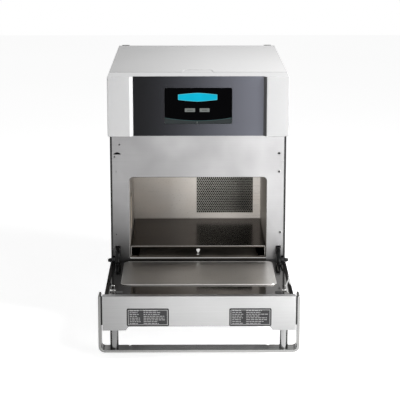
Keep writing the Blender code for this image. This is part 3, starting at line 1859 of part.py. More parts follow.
def make_interlock_switches():
    for name, side in SIDES:
        outer = HALF_BODY - SHEET - GAP
        middle = HINGE_HEIGHT + HOOK_REACH
        front = HINGE_Y + HOOK_HEIGHT + SWITCH_GAP
        switch = block(
            f"interlock_switch_{name}",
            sided(side, outer - SWITCH_WIDTH, outer),
            (front, front + SWITCH_DEPTH),
            (middle - SWITCH_HEIGHT / 2, middle + SWITCH_HEIGHT / 2),
            PARTS,
        )
        rubber(switch)


# Door


def door_recess(name, grow, y):
    """The shallow trough down the middle of the door's outer face, as a cutter."""
    half = BAND_INSIDE + grow
    low = DOOR_BOTTOM - OVERRUN
    outline = [
        (-half, low),
        (half, low),
        (half, DOOR_BOTTOM),
        (half - BAND_SLOPE, DOOR_BOTTOM + RECESS_DEPTH),
        (BAND_SLOPE - half, DOOR_BOTTOM + RECESS_DEPTH),
        (-half, DOOR_BOTTOM),
    ]
    return prism(name, outline, "Y", y)


def corner_notches(obj, prefix):
    """Clears the hinge hardware at the two corners beside the hinge."""
    for name, side in SIDES:
        notch = block(
            f"{prefix}_notch_{name}",
            sided(side, bracket_inside() - RUNNING_GAP, HALF_DOOR + OVERRUN),
            door_span(-OVERRUN, NOSE_RADIUS + 2 * RUNNING_GAP),
            (HINGE_HEIGHT - NOSE_RADIUS - 3 * RUNNING_GAP, HINGE_HEIGHT + OVERRUN),
        )
        cut(obj, notch)


def band_hollows(obj, prefix, half, y):
    """Hollows out the two raised bands of the outer face."""
    floor = DOOR_BOTTOM + RECESS_DEPTH + SHEET
    for name, side in SIDES:
        hollow = block(
            f"{prefix}_band_{name}",
            sided(side, BAND_INSIDE + SHEET, half - SHEET),
            y,
            (DOOR_BOTTOM + SHEET, floor + OVERRUN),
        )
        cut(obj, hollow)


def make_door_shell():
    half = HALF_DOOR
    top = PAN_TOP - SHEET - GAP
    shell = block(
        "door_outer_shell",
        (-half, half),
        door_span(DOOR_START, CAP_START - GAP),
        (DOOR_BOTTOM, top),
        PARTS,
    )
    inside_y = door_span(DOOR_START + SHEET, CAP_START - GAP - SHEET)
    floor = DOOR_BOTTOM + RECESS_DEPTH + SHEET
    inside = block(
        "door_inside", (-half + SHEET, half - SHEET), inside_y, (floor, top + OVERRUN)
    )
    cut(shell, inside)
    band_hollows(shell, "shell", half, inside_y)
    cut(shell, door_recess("shell_recess", 0, door_span(DOOR_START - OVERRUN, CAP_START)))
    corner_notches(shell, "shell")
    return stainless(shell)


def make_door_cap():
    half = HALF_CAP
    y = door_span(CAP_START, DOOR_LENGTH)
    cap = block("door_end_cap", (-half, half), y, (DOOR_BOTTOM, HINGE_HEIGHT), PARTS)
    inside_y = (y[0] + SHEET, y[1] + OVERRUN)
    floor = DOOR_BOTTOM + RECESS_DEPTH + SHEET
    inside = block(
        "cap_inside", (-half + SHEET, half - SHEET), inside_y, (floor, HINGE_HEIGHT - SHEET)
    )
    cut(cap, inside)
    band_hollows(cap, "cap", half, inside_y)
    cut(cap, door_recess("cap_recess", 0, (y[0] - OVERRUN, y[1] + OVERRUN)))
    return stainless(cap)


def make_door_pan():
    half = HALF_DOOR
    pan = block(
        "door_inner_pan",
        (-half, half),
        door_span(DOOR_START, CAP_START - GAP),
        (PAN_TOP - SHEET, PAN_TOP),
        PARTS,
    )
    for name, side in SIDES:
        slot = block(
            f"pan_arm_slot_{name}",
            sided(side, ARM_OFFSET - ARM_SLOT_WIDTH / 2, ARM_OFFSET + ARM_SLOT_WIDTH / 2),
            door_span(ARM_FOOT_START, ARM_SLOT_END),
            (PAN_TOP - SHEET - OVERRUN, PAN_TOP + OVERRUN),
        )
        cut(pan, slot)
    corner_notches(pan, "pan")
    return stainless(pan)


def make_cover_plate():
    half = PLATE_WIDTH / 2
    y = door_span(PLATE_START, PLATE_START + PLATE_LENGTH)
    plate = prism(
        "door_cover_plate",
        rounded((-half, half), y, PLATE_CORNER),
        "Z",
        (PAN_TOP + GAP, HINGE_HEIGHT + PLATE_PROUD),
        PARTS,
    )
    return stainless(plate)


def make_door_insulation():
    half = ARM_OFFSET - ARM_SLOT_WIDTH / 2 - SHEET
    slab = block(
        "door_insulation",
        (-half, half),
        door_span(DOOR_START + SHEET + GAP, CAP_START - 2 * GAP - SHEET),
        (DOOR_BOTTOM + RECESS_DEPTH + SHEET + GAP, PAN_TOP - SHEET - GAP),
        PARTS,
    )
    return wool(slab)


def make_labels():
    """Two bare rating plates on the end of the door."""
    labels = []
    low = DOOR_BOTTOM + RECESS_DEPTH + LABEL_EDGE
    face = DOOR_END_Y - GAP
    for name, side in SIDES:
        outer = HALF_CAP - LABEL_MARGIN
        x = sided(side, outer - LABEL_WIDTH, outer)
        label = prism(
            f"data_plate_{name}",
            rounded(x, (low, low + LABEL_HEIGHT), LABEL_CORNER, 3),
            "Y",
            (face - LABEL_THICKNESS, face),
            PARTS,
        )
        labels.append(black_gloss(label))
    return labels


def strap_outline():
    """The flat bar's U, seen from the front."""
    outer = HALF_CAP + STRAP_SIDE_GAP + STRAP_THICKNESS
    inner = outer - STRAP_THICKNESS
    low, high = STRAP_BOTTOM, HINGE_HEIGHT - STRAP_TOP_DROP
    quarter = math.pi / 2
    tip = STRAP_THICKNESS / 2
    inner_corner = STRAP_CORNER - STRAP_THICKNESS
    up = low + STRAP_CORNER
    points = arc((outer - tip, high - tip), tip, 0, math.pi, 4)
    points += arc((inner - inner_corner, up), inner_corner, 0, -quarter, 4)
    points += arc((inner_corner - inner, up), inner_corner, -quarter, -2 * quarter, 4)
    points += arc((tip - outer, high - tip), tip, 0, math.pi, 4)
    points += arc((STRAP_CORNER - outer, up), STRAP_CORNER, 2 * quarter, 3 * quarter, 6)
    points += arc((outer - STRAP_CORNER, up), STRAP_CORNER, -quarter, 0, 6)
    return points


def make_handle():
    front = DOOR_END_Y + STRAP_SETBACK
    y = (front, front + STRAP_WIDTH)
    strap = prism("handle_bar", strap_outline(), "Y", y, PARTS)
    for name, side in SIDES:
        x = side * NOTCH_OFFSET
        outline = [
            (x - NOTCH_SIZE / 2, y[1] + OVERRUN),
            (x + NOTCH_SIZE / 2, y[1] + OVERRUN),
            (x + NOTCH_SIZE / 2, y[1]),
            (x, y[1] - NOTCH_SIZE),
            (x - NOTCH_SIZE / 2, y[1]),
        ]
        notch = prism(
            f"strap_notch_{name}",
            outline,
            "Z",
            (STRAP_BOTTOM - OVERRUN, STRAP_BOTTOM + STRAP_THICKNESS + OVERRUN),
        )
        cut(strap, notch)
    pieces = [stainless(strap)]
    low = STRAP_BOTTOM + STRAP_THICKNESS + GAP
    for name, side in SIDES:
        post = rod(
            f"handle_post_{name}",
            "Z",
            (side * POST_OFFSET, (y[0] + y[1]) / 2, low),
            POST_RADIUS,
            DOOR_BOTTOM - GAP - low,
            PARTS,
            sides=24,
        )
        pieces.append(stainless(post))
    return pieces


def make_door():
    """Everything that turns with the door, about the hinge axis."""
    pieces = [
        make_door_shell(),
        make_door_cap(),
        make_door_pan(),
        make_cover_plate(),
        make_door_insulation(),
        *make_labels(),
        *make_handle(),
        *make_door_ears(),
        *make_hinge_arms(),
        *make_latch_hooks(),
    ]
    hinge = axis_empty("door_hinge", (0, HINGE_Y, HINGE_HEIGHT))
    carry(hinge, *pieces)


def make_oven():
    make_base_pan()
    make_front_frame()
    make_side_panels()
    make_rear_panel()
    make_top_cover()
    make_legs()
    make_hood()
    make_fascia()
    make_control_board()
    make_cavity()
    make_insulation()
    make_return_screen()
    make_upper_jetplate()
    make_lower_jetplate()
    make_converter()
    make_blower_housing()
    make_heater()
    make_blower_wheel()
    make_blower_motor()
    make_waveguide()
    make_magnetron()
    make_transformer()
    make_capacitor()
    make_fan_frame()
    make_fan_rotor()
    make_filter()
    make_gland()
    make_hinge_brackets()
    make_hinge_pins()
    make_interlock_switches()
    make_door()


make_oven()
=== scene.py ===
"""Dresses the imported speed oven: its finishes, its small parts, the studio and the camera."""

import json
import logging
import math
import random
from collections.abc import Iterable, Sequence
from dataclasses import dataclass
from enum import Enum

import bmesh
import bpy
from mathutils import Matrix, Vector


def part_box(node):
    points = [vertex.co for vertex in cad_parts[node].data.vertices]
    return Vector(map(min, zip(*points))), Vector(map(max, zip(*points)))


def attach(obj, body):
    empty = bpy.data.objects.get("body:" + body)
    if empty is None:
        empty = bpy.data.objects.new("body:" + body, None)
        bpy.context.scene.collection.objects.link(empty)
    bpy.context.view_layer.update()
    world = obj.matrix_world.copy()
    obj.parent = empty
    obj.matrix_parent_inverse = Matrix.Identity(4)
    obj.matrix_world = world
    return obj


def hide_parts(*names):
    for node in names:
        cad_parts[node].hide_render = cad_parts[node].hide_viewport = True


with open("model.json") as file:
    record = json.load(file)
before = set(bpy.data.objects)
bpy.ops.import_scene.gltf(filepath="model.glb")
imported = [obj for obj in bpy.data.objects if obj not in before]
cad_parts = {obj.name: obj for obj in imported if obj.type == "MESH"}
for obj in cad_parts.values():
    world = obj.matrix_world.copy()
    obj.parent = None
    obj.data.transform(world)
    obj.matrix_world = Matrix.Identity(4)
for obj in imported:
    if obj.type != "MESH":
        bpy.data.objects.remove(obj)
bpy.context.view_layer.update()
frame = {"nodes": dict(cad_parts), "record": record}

Colour = tuple[float, float, float]
Point = tuple[float, float, float]
Span = tuple[float, float]
Outline = Sequence[tuple[float, float]]
Shape = bmesh.types.BMesh
Piece = bpy.types.Object
Socket = bpy.types.NodeSocket

LOG = logging.getLogger("speed_oven")

# Distances that every piece shares, in metres
WELD = 0.000002
AIR = 0.0003
SHEET = 0.0015
FLAT_TURN = math.radians(0.5)
EDGE_TURN = math.radians(25)
SMOOTH_TURN = math.radians(35)
HEX_SIDES = 6
HEX_RISE = math.sqrt(3) / 2
HOLE_SIDES = 12
MILLIMETRE = 0.001

# Widths of the rounding of edges, in metres
PRINT_EDGE = 0.0002
THIN_EDGE = 0.0003
SHEET_EDGE = 0.0004
PLATE_EDGE = 0.0005
MOULDED_EDGE = 0.0006

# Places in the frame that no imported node's box gives
HINGE_Y = -0.12145
MOUTH_TOP = 0.3427

ORIGIN = (0.0, 0.0, 0.0)
BLACK = (0.0, 0.0, 0.0)
SOOT = (0.004, 0.004, 0.004)
WHITE = (1.0, 1.0, 1.0)


class Axis(Enum):
    """A direction of the frame."""

    X = 0
    Y = 1
    Z = 2

    def vector(self, length: float = 1.0) -> Vector:
        """Gives a vector along this axis."""
        return Vector([length if i == self.value else 0.0 for i in range(3)])


class Body(Enum):
    """The moving bodies that carry pieces of this script."""

    OVEN = "oven_body"
    DOOR = "door"
    JETPLATE = "jetplate"
    FAN = "fan_rotor"
    FILTER = "filter"


class Side(Enum):
    """The oven's two sides, with the sign of X there."""

    LEFT = -1
    RIGHT = 1

    @property
    def label(self) -> str:
        """Gives the side's name as it stands in names of pieces."""
        return self.name.lower()

    def span(self, near: float, far: float) -> Span:
        """Gives the span between two distances from the middle."""
        return min(self.value * near, self.value * far), max(self.value * near, self.value * far)


# Spans


def spans(node: str) -> tuple[Span, Span, Span]:
    """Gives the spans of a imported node's box along X, Y and Z."""
    return tuple(zip(*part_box(node)))


def inset(span: Span, by: float) -> Span:
    """Draws a span in at both ends."""
    return span[0] + by, span[1] - by


def middle(span: Span) -> float:
    """Gives the middle of a span."""
    return (span[0] + span[1]) / 2


def about(centre: float, half: float) -> Span:
    """Gives the span that reaches as far to both sides of a centre."""
    return centre - half, centre + half


def steps(span: Span, count: int) -> list[float]:
    """Gives the ends of a span and the places that divide it into equal steps."""
    return [span[0] + (span[1] - span[0]) * i / count for i in range(count + 1)]


# Node trees


class Graph:
    """A node tree, with short calls that add and join its nodes."""

    def __init__(self, tree: bpy.types.NodeTree) -> None:
        """Takes up a node tree."""
        self.tree = tree

    def feed(self, socket: Socket, value: object) -> None:
        """Links a socket to others, or sets its value.

        Args:
            socket: The input to fill.
            value: An output socket, a list of them, a number, or a colour or vector as a tuple.
        """
        for one in value if isinstance(value, list) else [value]:
            if isinstance(one, Socket):
                self.tree.links.new(one, socket)
            else:
                socket.default_value = (*one, 1.0) if socket.type == "RGBA" else one

    def add(self, kind: str, inputs: dict | None = None, **settings: object) -> bpy.types.Node:
        """Adds a node.

        Args:
            kind: Blender's name of the node's type.
            inputs: Values or output sockets by the input's name or number.
            settings: The node's own properties.

        Returns:
            The new node.
        """
        node = self.tree.nodes.new(kind)
        for key, value in settings.items():
            setattr(node, key, value)
        for key, value in (inputs or {}).items():
            self.feed(node.inputs[key], value)
        return node

    def maths(self, how: str, *values: object) -> Socket:
        """Joins numbers or sockets by one of Blender's operations."""
        return self.add("ShaderNodeMath", dict(enumerate(values)), operation=how).outputs[0]

    def times(self, first: object, second: object) -> Socket:
        """Multiplies two numbers or sockets."""
        return self.maths("MULTIPLY", first, second)

    def seen(self) -> Socket:
        """Gives 1 for the rays of the camera, of metal and of glass, and 0 for the others."""
        path = self.add("ShaderNodeLightPath").outputs
        mirrored = self.maths("MAXIMUM", path["Is Camera Ray"], path["Is Glossy Ray"])
        return self.maths("MAXIMUM", mirrored, path["Is Transmission Ray"])


# Materials


@dataclass(frozen=True)
class PaintedShade:
    """Painted shade: a darkening of the colour where less light falls, which fades out along an axis, or
    aslant to it.
    """

    axis: Axis
    dark: float
    clear: float
    share: float
    lean: float = 0.0


def scaled(colour: Colour, share: float) -> Colour:
    """Makes a colour lighter or darker, with no part over 1."""
    return tuple(min(part * share, 1.0) for part in colour)


class MaterialGraph(Graph):
    """One material's nodes, round its Principled shader.

    The two colours of a Mix node go by number, because its sockets' names repeat.
    """

    first_colour = 6
    second_colour = 7

    def __init__(self, name: str) -> None:
        """Starts a material of that name."""
        self.material = bpy.data.materials.new(name)
        self.material.use_nodes = True
        super().__init__(self.material.node_tree)
        self.shader = self.tree.nodes["Principled BSDF"]
        self.place = self.add("ShaderNodeTexCoord").outputs["Object"]

    def noise(self, scale: Point | float, detail: float = 2.0, shift: float = 0.0) -> Socket:
        """Adds a noise pattern on the object's own place.

        Args:
            scale: Waves per metre, along each axis or along all.
            detail: How many finer layers it has.
            shift: A distance that moves the pattern, so that two of them differ.

        Returns:
            The noise value's socket.
        """
        waves = scale if isinstance(scale, tuple) else (scale,) * 3
        place = {"Vector": self.place, "Location": (shift,) * 3, "Scale": waves}
        where = self.add("ShaderNodeMapping", place).outputs[0]
        return self.add("ShaderNodeTexNoise", {"Vector": where, "Scale": 1.0, "Detail": detail}).outputs[0]

    def spread(self, value: Socket, low: float = 0.0, high: float = 1.0, start: float = 0.32,
               stop: float = 0.68) -> Socket:
        """Stretches a value to a range.

        Args:
            value: The socket to stretch.
            low: The result at the start.
            high: The result at the stop.
            start: The value that gives low.
            stop: The value that gives high.

        Returns:
            The stretched value's socket.
        """
        inputs = {"Value": value, "From Min": start, "From Max": stop, "To Min": low, "To Max": high}
        return self.add("ShaderNodeMapRange", inputs).outputs[0]

    def mix(self, share: Socket, first: object, second: object) -> Socket:
        """Mixes two colours or their sockets. The share is that of the second."""
        inputs = {0: share, self.first_colour: first, self.second_colour: second}
        return self.add("ShaderNodeMix", inputs, data_type="RGBA").outputs[2]

    def shades(self, share: Socket, colour: Colour, low: float, high: float) -> Socket:
        """Mixes two shades of a colour. Low and high are what it is multiplied by."""
        return self.mix(share, scaled(colour, low), scaled(colour, high))

    def bump(self, height: Socket, depth: float, strength: float = 1.0) -> None:
        """Joins a height pattern, with its depth in metres, to the shader's normal."""
        node = self.add("ShaderNodeBump", {"Height": height, "Distance": depth, "Strength": strength})
        self.feed(self.shader.inputs["Normal"], node.outputs[0])

    def shine(self, inputs: dict) -> None:
        """Fills the shader's own inputs, by their names."""
        for key, value in inputs.items():
            self.feed(self.shader.inputs[key], value)

    def along(self, axis: Axis) -> Socket:
        """Gives the object's own coordinate along an axis."""
        return self.add("ShaderNodeSeparateXYZ", {0: self.place}).outputs[axis.value]

    def with_painted_shade(self, colour: Socket, painted_shades: Iterable[PaintedShade]) -> Socket:
        """Darkens a colour with bands of painted shade.

        Args:
            colour: The clean colour's socket.
            painted_shades: The bands of painted shade.

        Returns:
            The darkened colour's socket.
        """
        for painted_shade in painted_shades:
            place = self.along(painted_shade.axis)
            if painted_shade.lean:
                place = self.maths("ADD", place, self.times(self.along(Axis.X), painted_shade.lean))
            colour = self.mix(self.spread(place, painted_shade.share, 1.0, painted_shade.dark, painted_shade.clear), BLACK, colour)
        return colour


@dataclass(frozen=True)
class Finish:
    """A named look, with the record's slot that it belongs to."""

    name: str
    slot: str
    colour: Colour
    roughness: float

    def material(self) -> bpy.types.Material:
        """Gives this finish's material, made once."""
        if self.name not in bpy.data.materials:
            self.paint(MaterialGraph(self.name))
        return bpy.data.materials[self.name]

    def paint(self, graph: MaterialGraph) -> None:
        """Adds the nodes to the material's graph. Each kind of finish has its own."""
        raise NotImplementedError


@dataclass(frozen=True)
class BrushedSteel(Finish):
    """Stainless steel with a fine grain along one axis and faint clouds from handling."""

    axis: Axis = Axis.X
    clouds: float = 0.08
    grain: float = 0.05
    metal: float = 1.0
    edge_tint: float = 1.0
    gloss: float = 0.5
    # Bands of painted shade: they darken the colour where less light falls.
    painted_shades: tuple[PaintedShade, ...] = ()
    grain_waves: float = 1400.0
    grain_length: float = 9.0
    grain_depth: float = 0.00002
    grain_relief: float = 0.35
    streak_shade: float = 0.72
    cloud_waves: float = 7.0
    cloud_rough: Span = (-0.03, 0.04)

    def paint(self, graph: MaterialGraph) -> None:
        """Adds the nodes.

        Args:
            graph: The material's graph.
        """
        waves = [self.grain_waves] * 3
        waves[self.axis.value] = self.grain_length
        streaks = graph.noise(tuple(waves), detail=3.0)
        clouds = graph.noise(self.cloud_waves, detail=3.0, shift=0.4)
        cloudy = graph.shades(graph.spread(clouds), self.colour, 1 - self.clouds, 1 + self.clouds)
        streaky = graph.mix(graph.spread(streaks, 0.0, self.grain * 4), cloudy,
                            scaled(self.colour, self.streak_shade))
        rough = graph.spread(streaks, self.roughness - self.grain, self.roughness + self.grain)
        graph.shine({
            "Base Color": graph.with_painted_shade(streaky, self.painted_shades),
            "Roughness": graph.maths("ADD", rough, graph.spread(clouds, *self.cloud_rough)),
            "Metallic": self.metal,
            "Specular Tint": (self.edge_tint,) * 3,
            "Specular IOR Level": self.gloss,
        })
        graph.bump(streaks, self.grain_depth, self.grain_relief)


@dataclass(frozen=True)
class HeatTintedSteel(BrushedSteel):
    """Stainless steel browned by heat and baked-on grease, in soft patches."""

    tint: Colour = (0.3, 0.22, 0.15)
    tinted: float = 0.6
    patch_start: float = 0.4
    patch_waves: Point = (11.0, 11.0, 16.0)
    speck_waves: float = 260.0
    speck_share: float = 0.5
    speck_shade: float = 0.4
    speck_range: Span = (0.62, 0.8)

    def paint(self, graph: MaterialGraph) -> None:
        """Adds the nodes.

        Args:
            graph: The material's graph.
        """
        super().paint(graph)
        base = graph.shader.inputs["Base Color"].links[0].from_socket
        patches = graph.noise(self.patch_waves, detail=5.0, shift=2.0)
        share = graph.spread(patches, self.tinted * self.patch_start, self.tinted)
        browned = graph.mix(share, base, self.tint)
        specks = graph.noise(self.speck_waves, detail=3.0, shift=5.0)
        speckled = graph.spread(specks, 0.0, self.speck_share, *self.speck_range)
        graph.shine({"Base Color": graph.mix(speckled, browned, scaled(self.tint, self.speck_shade))})


@dataclass(frozen=True)
class Coating(Finish):
    """Paint, powder coat, plastic or rubber, with a fine stipple."""

    stipple: float = 900.0
    depth: float = 0.00003
    mottle: float = 0.05
    metal: float = 0.0
    gloss: float = 0.5
    # Bands of painted shade: they darken the colour where less light falls.
    painted_shades: tuple[PaintedShade, ...] = ()
    stipple_share: float = 0.25
    stipple_shade: float = 0.85
    cloud_waves: float = 9.0
    cloud_rough: Span = (-0.04, 0.04)

    def paint(self, graph: MaterialGraph) -> None:
        """Adds the nodes.

        Args:
            graph: The material's graph.
        """
        grain, clouds = graph.noise(self.stipple), graph.noise(self.cloud_waves, detail=4.0, shift=1.0)
        clouded = graph.shades(graph.spread(clouds), self.colour, 1 - self.mottle, 1 + self.mottle)
        stippled = graph.spread(grain, 0.0, self.stipple_share)
        colour = graph.mix(stippled, clouded, scaled(self.colour, self.stipple_shade))
        graph.shine({
            "Base Color": graph.with_painted_shade(colour, self.painted_shades),
            "Roughness": graph.maths("ADD", graph.spread(clouds, *self.cloud_rough), self.roughness),
            "Metallic": self.metal,
            "Specular IOR Level": self.gloss,
        })
        graph.bump(grain, self.depth)


@dataclass(frozen=True)
class GraduatedPanel(Finish):
    """A glossy overlay whose colour runs from black on the left to blue-grey on the right."""

    far_colour: Colour = (0.165, 0.17, 0.2)
    reach: Span = (-0.14, 0.14)
    curve: float = 1.6
    gloss: float = 0.06
    flake_waves: float = 2600.0
    flake_share: float = 0.05
    flake_shade: float = 1.3
    dust_waves: float = 30.0
    dust_rough: Span = (-0.03, 0.05)

    def paint(self, graph: MaterialGraph) -> None:
        """Adds the nodes.

        Args:
            graph: The material's graph.
        """
        share = graph.spread(graph.along(Axis.X), 0.0, 1.0, *self.reach)
        colour = graph.mix(graph.maths("POWER", share, self.curve), self.colour, self.far_colour)
        flakes = graph.spread(graph.noise(self.flake_waves, detail=1.0), 0.0, self.flake_share)
        dust = graph.noise(self.dust_waves, detail=4.0, shift=3.0)
        graph.shine({
            "Base Color": graph.mix(flakes, colour, scaled(self.far_colour, self.flake_shade)),
            "Roughness": graph.spread(dust, *(self.roughness + more for more in self.dust_rough)),
            "Specular IOR Level": self.gloss,
        })


@dataclass(frozen=True)
class LitPrint(Finish):
    """A lit or printed mark on the screen, with the screen's fine dots."""

    gloss: float = 0.03
    dot_waves: float = 3000.0
    dot_share: float = 0.15
    dot_shade: float = 0.7
    cloud_waves: float = 40.0
    cloud_shades: Span = (0.92, 1.06)

    def paint(self, graph: MaterialGraph) -> None:
        """Adds the nodes.

        Args:
            graph: The material's graph.
        """
        dots = graph.spread(graph.noise(self.dot_waves, detail=0.0), 0.0, self.dot_share)
        clouds = graph.spread(graph.noise(self.cloud_waves, shift=1.0))
        colour = graph.shades(clouds, self.colour, *self.cloud_shades)
        graph.shine({
            "Base Color": SOOT,
            "Roughness": self.roughness,
            "Specular IOR Level": self.gloss,
            "Emission Color": graph.mix(dots, colour, scaled(self.colour, self.dot_shade)),
            "Emission Strength": 1.0,
        })


@dataclass(frozen=True)
class ZincSheet(Finish):
    """Galvanised steel with its flat grey spangle."""

    spangle_waves: float = 160.0
    spangle_shades: Span = (0.82, 1.12)
    spangle_rough: Span = (-0.07, 0.09)
    dent_waves: float = 300.0
    dent_depth: float = 0.00002

    def paint(self, graph: MaterialGraph) -> None:
        """Adds the nodes.

        Args:
            graph: The material's graph.
        """
        spangle = graph.add("ShaderNodeTexVoronoi", {"Vector": graph.place, "Scale": self.spangle_waves})
        tone = graph.add("ShaderNodeSeparateColor", {0: spangle.outputs["Color"]}).outputs[0]
        low, high = (self.roughness + more for more in self.spangle_rough)
        graph.shine({
            "Base Color": graph.shades(tone, self.colour, *self.spangle_shades),
            "Roughness": graph.spread(tone, low, high, 0.0, 1.0),
            "Metallic": 1.0,
        })
        graph.bump(graph.noise(self.dent_waves), self.dent_depth)


@dataclass(frozen=True)
class Wool(Finish):
    """Matted mineral fibre."""

    fibre_waves: Point = (500.0, 120.0, 700.0)
    fibre_shade: float = 0.7
    fibre_depth: float = 0.001
    sheen: float = 0.3

    def paint(self, graph: MaterialGraph) -> None:
        """Adds the nodes.

        Args:
            graph: The material's graph.
        """
        fibres = graph.noise(self.fibre_waves, detail=6.0)
        colour = graph.shades(graph.spread(fibres), self.colour, self.fibre_shade, 1.0)
        graph.shine({"Base Color": colour, "Roughness": self.roughness, "Sheen Weight": self.sheen})
        graph.bump(fibres, self.fibre_depth)


@dataclass(frozen=True)
class PrintedBoard(Finish):
    """Green circuit board with lighter copper runs under the lacquer."""

    run_waves: float = 90.0
    run_shade: float = 1.8
    run_depth: float = 0.00005
    lacquer: float = 0.4

    def paint(self, graph: MaterialGraph) -> None:
        """Adds the nodes.

        Args:
            graph: The material's graph.
        """
        where = {"Vector": graph.place, "Scale": self.run_waves}
        runs = graph.add("ShaderNodeTexBrick", where).outputs["Fac"]
        colour = graph.shades(runs, self.colour, 1.0, self.run_shade)
        graph.shine({"Base Color": colour, "Roughness": self.roughness, "Coat Weight": self.lacquer})
        graph.bump(runs, self.run_depth)


@dataclass(frozen=True)
class HoneycombCeramic(Finish):
    """Ceramic honeycomb: thin walls round deep dark cells."""

    cells: float = 620.0
    unevenness: float = 0.15
    wall: float = 0.16
    cell_depth: float = 0.001
    soot_waves: float = 60.0
    soot_share: float = 0.6
    soot_shade: float = 0.3
    gloss: float = 0.1

    def paint(self, graph: MaterialGraph) -> None:
        """Adds the nodes.

        Args:
            graph: The material's graph.
        """
        where = {"Vector": graph.place, "Scale": self.cells, "Randomness": self.unevenness}
        edge = graph.add("ShaderNodeTexVoronoi", where, feature="DISTANCE_TO_EDGE").outputs["Distance"]
        wall = graph.spread(edge, 1.0, 0.0, 0.0, self.wall)
        soot = graph.spread(graph.noise(self.soot_waves, detail=3.0), 0.0, self.soot_share)
        sooted = graph.shades(soot, self.colour, 1.0, self.soot_shade)
        graph.shine({
            "Base Color": graph.mix(wall, SOOT, sooted),
            "Roughness": self.roughness,
            "Specular IOR Level": self.gloss,
        })
        graph.bump(wall, self.cell_depth)


